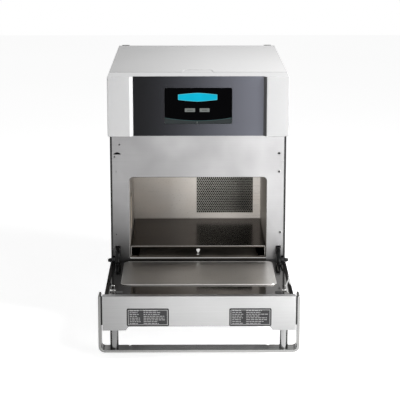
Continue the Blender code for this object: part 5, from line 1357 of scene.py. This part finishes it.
@dataclass
class FrontFrame(Assembly):
    """The stainless face plate round the mouth, with its screws, its bead, its sill and its edge strips, the
    last two dark with painted shade.

    Each screw is given by its place along X and Z and its radius.
    """

    refined: tuple[tuple, ...] = (("front_frame", Finishes.FRAME, SHEET_EDGE),)
    bead_width: float = 0.001
    bead_proud: float = 0.0005
    edge_shade_width: float = 0.0046
    sill_edge: float = 0.0013
    sill_proud: float = 0.0004
    mouth_corner: float = 0.009
    foot_corner: float = 0.0025
    small_screws: tuple[Point, ...] = ((-0.1824, 0.4201, 0.0024), (-0.1940, 0.3914, 0.0024),
                                       (-0.1908, 0.3559, 0.0014), (-0.1919, 0.2066, 0.0014))
    sunk_screws: tuple[Point, ...] = ((0.1890, 0.3564, 0.0024), (0.1928, 0.2113, 0.0024))
    dish_share: float = 1.9
    dish_proud: float = 0.0004
    dish_rim: float = 0.00016
    dish_steps: int = 32

    def dress(self) -> None:
        """Adds the screws, the bead round the mouth, the dark strips of painted shade down the outer edges
        and the sill.
        """
        face, way = spans("front_frame")[1][0], Axis.Y.vector(-1)
        for i, (x, z, radius) in enumerate(self.small_screws):
            self.screws(f"frame_screw_{i}", [(x, face, z)], way, radius)
        for i, (x, z, radius) in enumerate(self.sunk_screws):
            start, wide = (radius, 0.0), radius * self.dish_share
            profile = [start, (wide, 0.0), (wide, -self.dish_rim), (radius, -self.dish_proud), start]
            dish = turned(profile, (x, face, z), Axis.Y, self.dish_steps)
            self.add(f"frame_dish_{i}", dish, Finishes.DISH)
            self.screws(f"frame_sunk_screw_{i}", [(x, face, z)], way, radius, Finishes.DARK_STEEL)
        self.add_bead(face)
        self.add_edge_shade_strips(face)
        self.add_shaded_sill(face)

    def mouth(self) -> tuple[Span, float]:
        """Gives the mouth's span along X and the height of its floor."""
        x, _, z = spans("cook_cavity")
        return inset(x, SHEET), z[0] + SHEET

    def add_bead(self, face: float) -> None:
        """Adds the thin turned edge round the mouth.

        Args:
            face: The face plate's front.
        """
        x, floor = self.mouth()
        outer, inner = (
            rounded(inset(x, -wide), (floor - wide, MOUTH_TOP + wide), self.mouth_corner + wide,
                    foot=self.foot_corner + wide)
            for wide in (self.bead_width, 0.0))
        sides = ((outer, face + AIR), (outer, face - self.bead_proud), (inner, face), (inner, face + AIR))
        self.add("mouth_bead", skinned(sides, Axis.Y), Finishes.HANDLE)

    def add_shaded_sill(self, face: float) -> None:
        """Adds a dark sill under the mouth, painted shade where the frame falls dark above the pan, with a
        polished line along its top.

        Args:
            face: The face plate's front.
        """
        x, top = self.mouth()
        start, front, back = top - self.sill_edge, face - self.sill_proud * 2, face + AIR
        sill = blocks((x, (face - self.sill_proud, back), (spans("door_inner_pan")[2][1], start)))
        self.add("mouth_sill", sill, Finishes.SILL_SHADE)
        slope = [(back, start), (front, start), (front, start + self.sill_proud / 2), (face, top),
                 (back, top)]
        self.add("mouth_sill_line", lifted(slope, Axis.X, x), Finishes.BRIGHT)

    def add_edge_shade_strips(self, face: float) -> None:
        """Adds dark strips down both outer edges, painted shade where the edges of the frame fall dark.

        Args:
            face: The face plate's front.
        """
        (left, right), _, z = spans("front_frame")
        edges = ((left, left + self.edge_shade_width), (right - self.edge_shade_width, right))
        shape = blocks(*[(x, (face - AIR, face + SHEET), z) for x in edges])
        self.add("frame_edge_shade_strips", shape, Finishes.RUBBER, width=THIN_EDGE)


@dataclass
class Hood(Assembly):
    """The hood over the mouth, with the control fascia and the lit screen."""

    refined: tuple[tuple, ...] = (
        ("control_fascia", Finishes.PANEL, PRINT_EDGE), ("display_glass", Finishes.GLASS, PRINT_EDGE))
    edge: float = 0.0012
    print_gauge: float = 0.0001
    banner_x: Span = (-0.0457, 0.0428)
    banner_middle: float = 0.5416
    banner_end: float = 0.0060
    banner_peak: float = 0.0098
    banner_rim: float = 0.0007
    banner_curve: float = 1.35
    banner_steps: int = 16
    key_x: tuple[Span, ...] = ((-0.0305, -0.0073), (0.0031, 0.0253))
    key_z: Span = (0.508, 0.5163)
    key_corner: float = 0.0008
    key_dash: Span = (0.00075, 0.22)
    band_end: float = 0.4944
    band_middle: float = 0.4875
    band_steps: int = 24
    line_gauge: float = 0.0007
    tick_x: float = -0.0028
    tick_z: Span = (0.4815, 0.4862)
    tick_half: float = 0.00055
    slope: tuple[Span, Span] = ((0.1474, -0.1895), (0.1539, -0.1973))

    def build(self) -> None:
        """Builds the hood with its seam, the fascia and the glass."""
        self.refine("hood_bezel", Finishes.COVER, self.edge, 3, (blocks(seam_box(SHEET)),))
        x, y, z = seam_box()
        self.add("hood_seam", blocks((x, y, about(z[0], AIR))), Finishes.RUBBER)
        super().build()

    def dress(self) -> None:
        """Draws what the screen shows: a plain lit banner, two keys and a band. Then adds a dark strip of
        painted shade on the hood's right slope.
        """
        banner = self.banner(0.0)
        self.add("screen_banner", lifted(banner, Axis.Y, self.layer(0)), Finishes.BANNER)
        rim = ring(banner, self.banner(self.banner_rim), Axis.Y, self.layer(1))
        self.add("screen_banner_rim", rim, Finishes.BANNER_RIM)
        half, share = self.key_dash
        for i, x in enumerate(self.key_x):
            key = lifted(rounded(x, self.key_z, self.key_corner, 3), Axis.Y, self.layer(0))
            self.add(f"screen_key_{i}", key, Finishes.KEY)
            dash = (inset(x, (x[1] - x[0]) * share), self.layer(1), about(middle(self.key_z), half))
            self.add(f"screen_key_dash_{i}", blocks(dash), Finishes.KEY_DASH)
        self.add_band()
        # A dark strip on the hood's right slope: painted shade, where that slope falls dark.
        low, high = spans("hood_bezel")[2]
        outline = [(x, y + AIR) for x, y in self.slope] + list(reversed(self.slope))
        strip = lifted(outline, Axis.Z, (low + AIR, high - AIR * 3))
        self.add("hood_slope_painted_shade_strip", strip, Finishes.SLOPE_SHADE)

    def layer(self, number: int) -> Span:
        """Gives the span along Y of a print, 0 on the glass and 1 on a print there."""
        back = spans("display_glass")[1][0] - self.print_gauge * number
        return back - self.print_gauge, back + AIR / 2

    def banner(self, by: float) -> list:
        """Gives the banner's outline: level ends, and a gently peaked top and bottom.

        Args:
            by: How far inside its edge the outline runs.

        Returns:
            The points.
        """
        swell, count = self.banner_peak - self.banner_end, self.banner_steps
        halves = [(x, self.banner_end + swell * (1 - abs(share) ** self.banner_curve) - by)
                  for x, share in zip(steps(inset(self.banner_x, by), count), steps((-1.0, 1.0), count))]
        foot, top = ([(x, self.banner_middle + sign * tall) for x, tall in halves] for sign in (-1, 1))
        return foot + top[::-1]

    def add_band(self) -> None:
        """Adds the grey band under the bowed line at the screen's foot, and the small mark on it."""
        x, _, z = spans("display_glass")
        (left, right), foot, count = inset(x, AIR), z[0] + AIR, self.band_steps
        bow = [(at, self.band_middle + (self.band_end - self.band_middle) * share**2)
               for at, share in zip(steps((left, right), count), steps((-1.0, 1.0), count))]
        band = [(left, foot), (right, foot), *reversed(bow)]
        self.add("screen_band", lifted(band, Axis.Y, self.layer(0)), Finishes.BAND)
        line = [*bow, *[(at, up + self.line_gauge) for at, up in reversed(bow)]]
        self.add("screen_line", lifted(line, Axis.Y, self.layer(1)), Finishes.LINE)
        tick = blocks((about(self.tick_x, self.tick_half), self.layer(1), self.tick_z))
        self.add("screen_tick", tick, Finishes.KEY)


@dataclass
class Cavity(PunchedAssembly):
    """The cooking cavity, its punched screen and what is fixed in it."""

    refined: tuple[tuple, ...] = (
        ("cook_cavity", Finishes.CAVITY, THIN_EDGE), ("upper_jetplate", Finishes.CAVITY, THIN_EDGE),
        ("waveguide_cover", Finishes.CERAMIC, PRINT_EDGE))
    sink: float = 0.0001
    converter_wall: float = 0.003
    converter_recess: float = 0.002

    def build(self) -> None:
        """Builds the cavity, the converter and the punched sheet over the air return."""
        super().build()
        x, y, z = spans("return_air_screen")
        self.build_converter((inset(x, AIR), inset(z, AIR)))
        self.add_sheet("return_air_punched_sheet", (x, z), y[0] + self.sink, Finishes.SCREEN,
                       "return_air_screen")

    def build_converter(self, brim: tuple[Span, Span]) -> None:
        """Builds the converter: a frame with a flange in front, round a honeycomb core.

        Args:
            brim: The flange's spans along X and Z.
        """
        x, y, z = spans("catalytic_converter")
        inner = [inset(span, self.converter_wall) for span in (x, z)]
        mouth = rounded(*inner, AIR, 2)
        name, finish = "catalytic_converter", Finishes.CONVERTER
        shape = ring(rounded(x, z, AIR, 2), mouth, Axis.Y, y)
        self.add(f"{name}_frame", shape, finish, name, width=THIN_EDGE)
        wide, tall = (inset(span, -AIR) for span in inner)
        self.add(f"{name}_core", blocks((wide, inset(y, self.converter_recess), tall)), finish)
        flange = ring(rounded(*brim, AIR, 2), mouth, Axis.Y, about(y[0], AIR))
        self.add(f"{name}_flange", flange, finish)


@dataclass
class Tray(Assembly):
    """The lower jetplate, which slides out, and its clip with two knobs, a tip and a foot."""

    body: Body = Body.JETPLATE
    refined: tuple[tuple, ...] = (("lower_jetplate", Finishes.TRAY, SHEET_EDGE),)
    edge_width: float = 0.0014
    edge_proud: float = 0.0003
    foot_curl: float = 0.013
    curl_share: float = 0.4
    knob: float = 0.0025
    knob_gap: float = 0.0019
    knob_drop: float = 0.0055
    knob_over: float = 0.25
    knob_turn: float = 0.14 * math.pi
    knob_steps: int = 10
    tip: float = 0.0062
    tip_radius: float = 0.0012
    tip_turn: float = 0.15 * math.pi
    tip_steps: int = 4
    foot_half: float = 0.003
    foot_height: float = 0.0018

    def build(self) -> None:
        """Builds the jetplate and the clip."""
        super().build()
        (left, right), y, (foot, top) = spans("jetplate_clip")
        x, z, half = middle((left, right)), top - self.knob_drop, math.pi
        arcs = (
            ((x + self.knob_gap, z), self.knob, -self.knob_over, half - self.knob_turn, self.knob_steps),
            ((x - self.knob_gap, z), self.knob, self.knob_turn, half + self.knob_over, self.knob_steps),
            ((x, z - self.tip), self.tip_radius, self.tip_turn - half, -self.tip_turn, self.tip_steps))
        outline = [point for bow in arcs for point in arc(*bow)]
        clip = blocks((about(x, self.foot_half), y, (foot, foot + self.foot_height)),
                      shape=lifted(outline, Axis.Y, y))
        self.add("jetplate_clip_moulded", clip, Finishes.CLIP, "jetplate_clip", width=SHEET_EDGE)

    def dress(self) -> None:
        """Adds the bare cut edge round the tray's front: down both legs, and along their feet."""
        x, y, (foot, top) = spans("lower_jetplate")
        depth, wide = (y[0] - self.edge_proud, y[0] + SHEET), self.edge_width
        boxes = [(x, depth, (top - wide, top))]
        for edge, inward in ((x[0], 1), (x[1], -1)):
            leg = sorted((edge, edge + inward * wide))
            curl = sorted((edge + inward * wide, edge + inward * self.foot_curl))
            boxes += [(leg, depth, (foot, top - wide)), (curl, depth, (foot, foot + wide * self.curl_share))]
        self.add("jetplate_cut_edge", blocks(*boxes), Finishes.CUT_EDGE)


@dataclass
class Door(Assembly):
    """The drop-down door with its linings, end cap, data plates and latch parts.

    A reach is a distance from the hinge's axis. The link's outline has shares of its width, in
    from the pan's edge, and reaches.
    """

    body: Body = Body.DOOR
    refined: tuple[tuple, ...] = (
        ("door_outer_shell", Finishes.SIDE, PLATE_EDGE), ("door_end_cap", Finishes.CAP, MOULDED_EDGE, 3),
        ("door_inner_pan", Finishes.LINING, THIN_EDGE), ("door_cover_plate", Finishes.PLATE, PLATE_EDGE))
    plate_turn: float = 0.014
    edge_width: float = 0.0018
    edge_proud: float = 0.0002
    lip_width: float = 0.0085
    lip_proud: float = 0.0009
    lip_reach: Span = (0.03, 0.286)
    plate_sink: float = 0.0001
    plate_corner: float = 0.003
    rim_inset: float = 0.0025
    rim_gauge: float = 0.0013
    word_height: float = 0.0015
    line_step: float = 0.0041
    line_drop: float = 0.95
    word_gap: float = 0.0014
    words: Span = (0.003, 0.0085)
    line_share: Span = (0.6, 1.0)
    columns: tuple[Span, ...] = ((0.07, 0.34), (0.4, 0.92))
    pad_x: Span = (0.1665, 0.1800)
    pad_reach: Span = (0.2630, 0.2790)
    pad_height: float = 0.0018
    link_height: float = 0.0010
    link_width: float = 0.0042
    link: Outline = (
        (0.0, 0.130), (0.6, 0.130), (0.8, 0.165), (3.0, 0.215), (3.2, 0.270), (2.6, 0.270), (2.3, 0.220),
        (1.2, 0.185), (0.4, 0.215), (0.0, 0.215))
    link_screw: Point = (0.5, 0.142, 0.0018)
    side_screws: Sequence[float] = (0.12, 0.5, 0.88)
    side_screw_radius: float = 0.0028

    def build(self) -> None:
        """Builds the sheets, the slope round the cover plate, the latch hooks and the data plates."""
        super().build()
        self.build_plate_edge()
        for side in Side:
            self.refine(f"latch_hook_{side.label}", Finishes.BRIGHT, THIN_EDGE)
            self.build_data_plate(f"data_plate_{side.label}")

    def build_plate_edge(self) -> None:
        """Builds the polished slope that runs round the raised cover plate."""
        x, y, (foot, top) = spans("door_cover_plate")
        outer, inner = (rounded(inset(x, by), inset(y, by), self.plate_turn - by)
                        for by in (-self.edge_proud, self.edge_width))
        sides = ((outer, foot + AIR), (outer, foot + AIR * 2), (inner, top + self.edge_proud),
                 (inner, foot + AIR))
        self.add("door_plate_edge", skinned(sides, Axis.Z), Finishes.PLATE_EDGE)

    def build_data_plate(self, node: str) -> None:
        """Builds one grey plate with a light rim and two columns of short dashes.

        Args:
            node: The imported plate.
        """
        x, (front, back), z = spans(node)
        sheet = lifted(rounded(x, z, self.plate_corner), Axis.Y, (front + self.plate_sink, back))
        self.add(f"{node}_sheet", sheet, Finishes.DATA_EDGE, node, width=PRINT_EDGE)
        layer = (front, front + self.plate_sink * 2)
        outer, inner = (rounded(inset(x, by), inset(z, by), max(self.plate_corner - by, AIR))
                        for by in (self.rim_inset, self.rim_inset + self.rim_gauge))
        self.add(f"{node}_rim", ring(outer, inner, Axis.Y, layer), Finishes.DATA_INK)
        face = lifted(inner, Axis.Y, (front + self.plate_sink / 2, layer[1]))
        self.add(f"{node}_face", face, Finishes.DATA)
        self.add(f"{node}_dashes", self.dashes(x, z, layer), Finishes.DATA_INK)

    def dashes(self, x: Span, z: Span, layer: Span) -> Shape:
        """Makes rows of short dashes that stand for print too small to read.

        Args:
            x: The plate's span across.
            z: The plate's span up.
            layer: The print's span in depth.

        Returns:
            The dashes.
        """
        pick = random.Random(round(x[0] / MILLIMETRE))
        wide, boxes = x[1] - x[0], []
        for start, stop in self.columns:
            for row in range(int((z[1] - z[0]) / self.line_step) - 1):
                top = z[1] - self.line_step * (row + self.line_drop)
                at = x[0] + wide * start
                end = x[0] + wide * (start + (stop - start) * pick.uniform(*self.line_share))
                while at < end:
                    long = pick.uniform(*self.words)
                    boxes.append(((at, min(at + long, end)), layer, (top - self.word_height, top)))
                    at += long + self.word_gap
        return blocks(*boxes)

    def dress(self) -> None:
        """Adds the pads at the door's free corners, the latch links, the screws and the lips."""
        (_, edge), _, (_, pan) = spans("door_inner_pan")
        (_, wall), y, z = spans("door_outer_shell")
        for side in Side:
            x = side.span(*self.pad_x)
            self.add_strip(f"door_pad_{side.label}", x, self.pad_reach, self.pad_height, Finishes.RUBBER)
            self.add_link(side, edge - AIR, pan)
            places = [(side.value * wall, y[0] + (y[1] - y[0]) * share, middle(z))
                      for share in self.side_screws]
            self.screws(f"door_side_screws_{side.label}", places, Axis.X.vector(side.value),
                        self.side_screw_radius)
            x = side.span(edge - self.lip_width, edge)
            self.add_strip(f"door_side_lip_{side.label}", x, self.lip_reach, self.lip_proud,
                           Finishes.SIDE_LIP)

    def add_strip(self, name: str, x: Span, reach: Span, height: float, finish: Finish) -> None:
        """Adds a flat strip on the pan.

        Args:
            name: The piece's name.
            x: Its span along X.
            reach: Its reaches.
            height: Its height over the pan.
            finish: Its finish.
        """
        pan = spans("door_inner_pan")[2][1]
        box = (x, (HINGE_Y - reach[1], HINGE_Y - reach[0]), (pan - AIR, pan + height))
        self.add(name, blocks(box), finish, width=SHEET_EDGE)

    def add_link(self, side: Side, edge: float, pan: float) -> None:
        """Adds the flat latch link that runs along one edge of the pan, with its screw.

        Args:
            side: The link's side.
            edge: Its outer edge's distance from the middle.
            pan: The height of the pan.
        """
        top = pan + self.link_height
        # One part in two colours: the right link is bright with painted highlight, the left one dark with
        # painted shade.
        finish = Finishes.HINGE if side is Side.LEFT else Finishes.BRIGHT
        points = [(side.value * (edge - self.link_width * share), HINGE_Y - reach)
                  for share, reach in self.link]
        link = lifted(points, Axis.Z, (pan - AIR, top))
        self.add(f"latch_link_{side.label}", link, finish, width=THIN_EDGE)
        share, reach, radius = self.link_screw
        place = (side.value * (edge - self.link_width * share), HINGE_Y - reach, top)
        self.screws(f"latch_link_screw_{side.label}", [place], Axis.Z.vector(), radius, Finishes.ENAMEL)


@dataclass
class Handle(Assembly):
    """The flat bar bent into a U round the door's end, and its two posts."""

    body: Body = Body.DOOR
    refined: tuple[tuple, ...] = (
        ("handle_bar", Finishes.HANDLE, 0.001, 3), ("handle_post_left", Finishes.POST, SHEET_EDGE),
        ("handle_post_right", Finishes.POST, SHEET_EDGE))
    screw_radius: float = 0.0045
    gauge: float = 0.0061
    spacer_start: float = 0.2098
    spacer_y: Span = (-0.4212, -0.4095)
    spacer_z: Span = (0.0785, 0.1405)

    def dress(self) -> None:
        """Adds the spacers, and the screws that hold the posts, under the bar."""
        (_, right), _, (low, _) = spans("handle_bar")
        posts = [spans(f"handle_post_{side.label}") for side in Side]
        places = [(middle(x), middle(y), low) for x, y, _ in posts]
        self.screws("handle_screws", places, Axis.Z.vector(-1), self.screw_radius)
        for side in Side:
            x = side.span(self.spacer_start, right - self.gauge + AIR)
            self.add(f"handle_spacer_{side.label}", blocks((x, self.spacer_y, self.spacer_z)),
                     Finishes.RUBBER, width=MOULDED_EDGE)


@dataclass
class Hinges(Assembly):
    """The hinge brackets and pins on the body."""

    refined: tuple[tuple, ...] = (
        ("hinge_bracket_left", Finishes.HINGE, SHEET_EDGE), ("hinge_pin_left", Finishes.ENAMEL, PLATE_EDGE),
        ("hinge_bracket_right", Finishes.HINGE, SHEET_EDGE), ("hinge_pin_right", Finishes.ENAMEL, PLATE_EDGE))


@dataclass
class DoorHinges(Assembly):
    """The hinge ears and curved arms on the door."""

    body: Body = Body.DOOR
    refined: tuple[tuple, ...] = (
        ("door_hinge_ear_left", Finishes.HINGE, SHEET_EDGE), ("hinge_arm_left", Finishes.ARM, 0.0022, 3),
        ("door_hinge_ear_right", Finishes.HINGE, SHEET_EDGE), ("hinge_arm_right", Finishes.ARM, 0.0022, 3))


@dataclass
class CoolingFan(Assembly):
    """The fan's fixed frame and the cable gland next to it."""

    refined: tuple[tuple, ...] = (
        ("cooling_fan_frame", Finishes.PLASTIC, MOULDED_EDGE),
        ("power_inlet_gland", Finishes.RUBBER, PLATE_EDGE))


@dataclass
class FanRotor(Assembly):
    """The cooling fan's rotor."""

    body: Body = Body.FAN
    refined: tuple[tuple, ...] = (("cooling_fan_rotor", Finishes.PLASTIC, SHEET_EDGE),)


@dataclass
class AirFilter(PunchedAssembly):
    """The filter cassette on the back: a punched sheet in a frame, with a pull."""

    body: Body = Body.FILTER
    refined: tuple[tuple, ...] = (("air_filter", Finishes.ENAMEL, MOULDED_EDGE),)
    pitch: float = 0.0042
    hole: float = 0.0015
    gauge: float = 0.0006
    spare_cells: int = 2
    rim: float = 0.009
    rim_inset: float = 0.001
    rim_corner: float = 0.0008
    rim_proud: float = 0.0016
    pull_half: float = 0.018
    pull_rise: float = 0.0048

    def dress(self) -> None:
        """Adds the cassette's punched sheet, its rim and its pull."""
        x, (_, back), z = spans("air_filter")
        field = (inset(x, self.rim), inset(z, self.rim))
        self.add_sheet("filter_punched_sheet", field, back, Finishes.FILTER)
        outer, inner = (rounded(inset(x, by), inset(z, by), self.rim_corner, 2)
                        for by in (self.rim_inset, self.rim))
        face = back + self.rim_proud
        rim = ring(outer, inner, Axis.Y, (back, face))
        self.add("filter_rim", rim, Finishes.ENAMEL, width=SHEET_EDGE)
        top = field[1][1]
        pull = (about(middle(x), self.pull_half), (face, face + self.rim_proud * 2),
                (top, top + self.pull_rise))
        self.add("filter_pull", blocks(pull), Finishes.ENAMEL, width=MOULDED_EDGE)


KEPT_FINISHES = {finish.slot: finish for finish in (
    Finishes.COVER, Finishes.SIDE, Finishes.CAVITY, Finishes.LINING, Finishes.TRAY, Finishes.ZINC,
    Finishes.ENAMEL, Finishes.PANEL, Finishes.PLASTIC, Finishes.RUBBER, Finishes.BOARD, Finishes.WOOL,
    Finishes.CERAMIC, Finishes.CLIP)}


def dress_kept_nodes() -> None:
    """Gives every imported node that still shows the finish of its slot."""
    slots = {part["node"]: part["material_slot"] for part in frame["record"]["subparts"]}
    for name, node in frame["nodes"].items():
        if node.hide_render:
            continue
        finish = KEPT_FINISHES[slots[name]]
        node.data.materials.clear()
        node.data.materials.append(finish.material())
        LOG.info("%s keeps its own shape, in %s", name, finish.name)


# Studio


def on_stage(name: str, data: bpy.types.ID, place: Point = ORIGIN, turn: Point = ORIGIN) -> Piece:
    """Puts a lamp, a camera or a mesh into the scene.

    Args:
        name: The new object's name.
        data: What it holds.
        place: Where it stands.
        turn: Its turns about the three axes.

    Returns:
        The object.
    """
    made = bpy.data.objects.new(name, data)
    made.location, made.rotation_euler = place, turn
    bpy.context.scene.collection.objects.link(made)
    return made


@dataclass(frozen=True)
class Lamp:
    """One soft lamp that is aimed at a point: a rectangle."""

    name: str
    place: Point
    target: Point
    width: float
    power: float
    height: float = 0.0
    mirrored: bool = True

    def source(self) -> bpy.types.Light:
        """Makes the lamp's light."""
        light = bpy.data.lights.new(self.name, "AREA")
        light.shape = "RECTANGLE"
        light.size, light.size_y = self.width, self.height or self.width
        return light

    def make(self) -> None:
        """Puts the lamp in the scene."""
        light = self.source()
        light.energy = self.power
        way = Vector(self.target) - Vector(self.place)
        lamp = on_stage(self.name, light, self.place, way.to_track_quat("-Z", "Y").to_euler())
        lamp.visible_glossy = self.mirrored


@dataclass(frozen=True)
class SpotLamp(Lamp):
    """A soft lamp with a narrow cone, for the inside of the mouth."""

    cone: float = math.radians(15)

    def source(self) -> bpy.types.Light:
        """Makes the lamp's light."""
        light = bpy.data.lights.new(self.name, "SPOT")
        light.spot_size, light.spot_blend, light.shadow_soft_size = self.cone, 1.0, self.width / 2
        return light


@dataclass
class Studio:
    """The pale floor, the white surroundings, the lamps and the camera."""

    floor_half: float = 6.0
    floor_tone: float = 0.84
    floor_mottle: float = 0.02
    floor_waves: float = 0.8
    floor_roughness: float = 0.9
    floor_lift: float = 0.7
    ambient: float = 0.3
    camera_place: Point = (-0.02328, -3.49479, 1.04551)
    camera_down: float = math.radians(12.64)
    camera_right: float = math.radians(0.47)
    lens: float = 133.2
    sensor: float = 36.0
    lamps: tuple[Lamp, ...] = (
        Lamp("side_softbox", (1.05, -0.38, 1.22), (0.0, -0.05, 0.47), 0.75, 24.0),
        Lamp("front_softbox", (0.59, -1.3, 0.33), (0.05, -0.12, 0.27), 0.48, 8.0, 0.6),
        SpotLamp("mouth_fill", (-0.45, -1.25, 0.3), (0.15, 0.17, 0.25), 0.2, 130.0, mirrored=False),
    )

    def build(self) -> None:
        """Builds the studio, with the camera where the photograph was taken from."""
        self.build_floor()
        self.build_world()
        for lamp in self.lamps:
            lamp.make()
        data = bpy.data.cameras.new("camera")
        data.lens, data.sensor_width = self.lens, self.sensor
        turn = (math.pi / 2 - self.camera_down, 0.0, -self.camera_right)
        bpy.context.scene.camera = on_stage("camera", data, self.camera_place, turn)
        bpy.context.scene.view_settings.view_transform = "Standard"

    def build_floor(self) -> None:
        """Builds the floor, pale for every ray and a little lifted where it is seen."""
        shape, mesh = bmesh.new(), bpy.data.meshes.new("studio_floor")
        bmesh.ops.create_grid(shape, x_segments=1, y_segments=1, size=self.floor_half)
        shape.to_mesh(mesh)
        shape.free()
        graph = MaterialGraph("studio_floor")
        tones = [(self.floor_tone + more,) * 3 for more in (0.0, self.floor_mottle)]
        graph.shine({
            "Base Color": graph.mix(graph.spread(graph.noise(self.floor_waves)), *tones),
            "Roughness": self.floor_roughness,
            "Specular IOR Level": 0.0,
            "Emission Color": WHITE,
            "Emission Strength": graph.times(graph.seen(), self.floor_lift),
        })
        mesh.materials.append(graph.material)
        on_stage("studio_floor", mesh)

    def build_world(self) -> None:
        """Builds the white surroundings, which light the oven less than they show."""
        world = bpy.data.worlds.new("studio_world")
        world.use_nodes = True
        bpy.context.scene.world = world
        graph = Graph(world.node_tree)
        back = world.node_tree.nodes["Background"].inputs
        graph.feed(back["Color"], WHITE)
        light = graph.maths("MULTIPLY_ADD", graph.seen(), 1.0 - self.ambient, self.ambient)
        graph.feed(back["Strength"], light)


def main() -> None:
    """Builds the oven's look, piece by piece, and the studio around it."""
    logging.basicConfig(level=logging.INFO, format="%(name)s: %(message)s")
    trees = Trees(ScrewHead().tree(), perforation_tree(), row_tree())
    for kind in (Cabinet, FrontFrame, Hood, Cavity, Tray, Door, Handle, Hinges, DoorHinges,
                 CoolingFan, FanRotor, AirFilter):
        LOG.info("building %s", kind.__name__)
        assembly = kind(trees)
        assembly.build()
        assembly.dress()
    dress_kept_nodes()
    Studio().build()


if __name__ == "__main__":
    main()
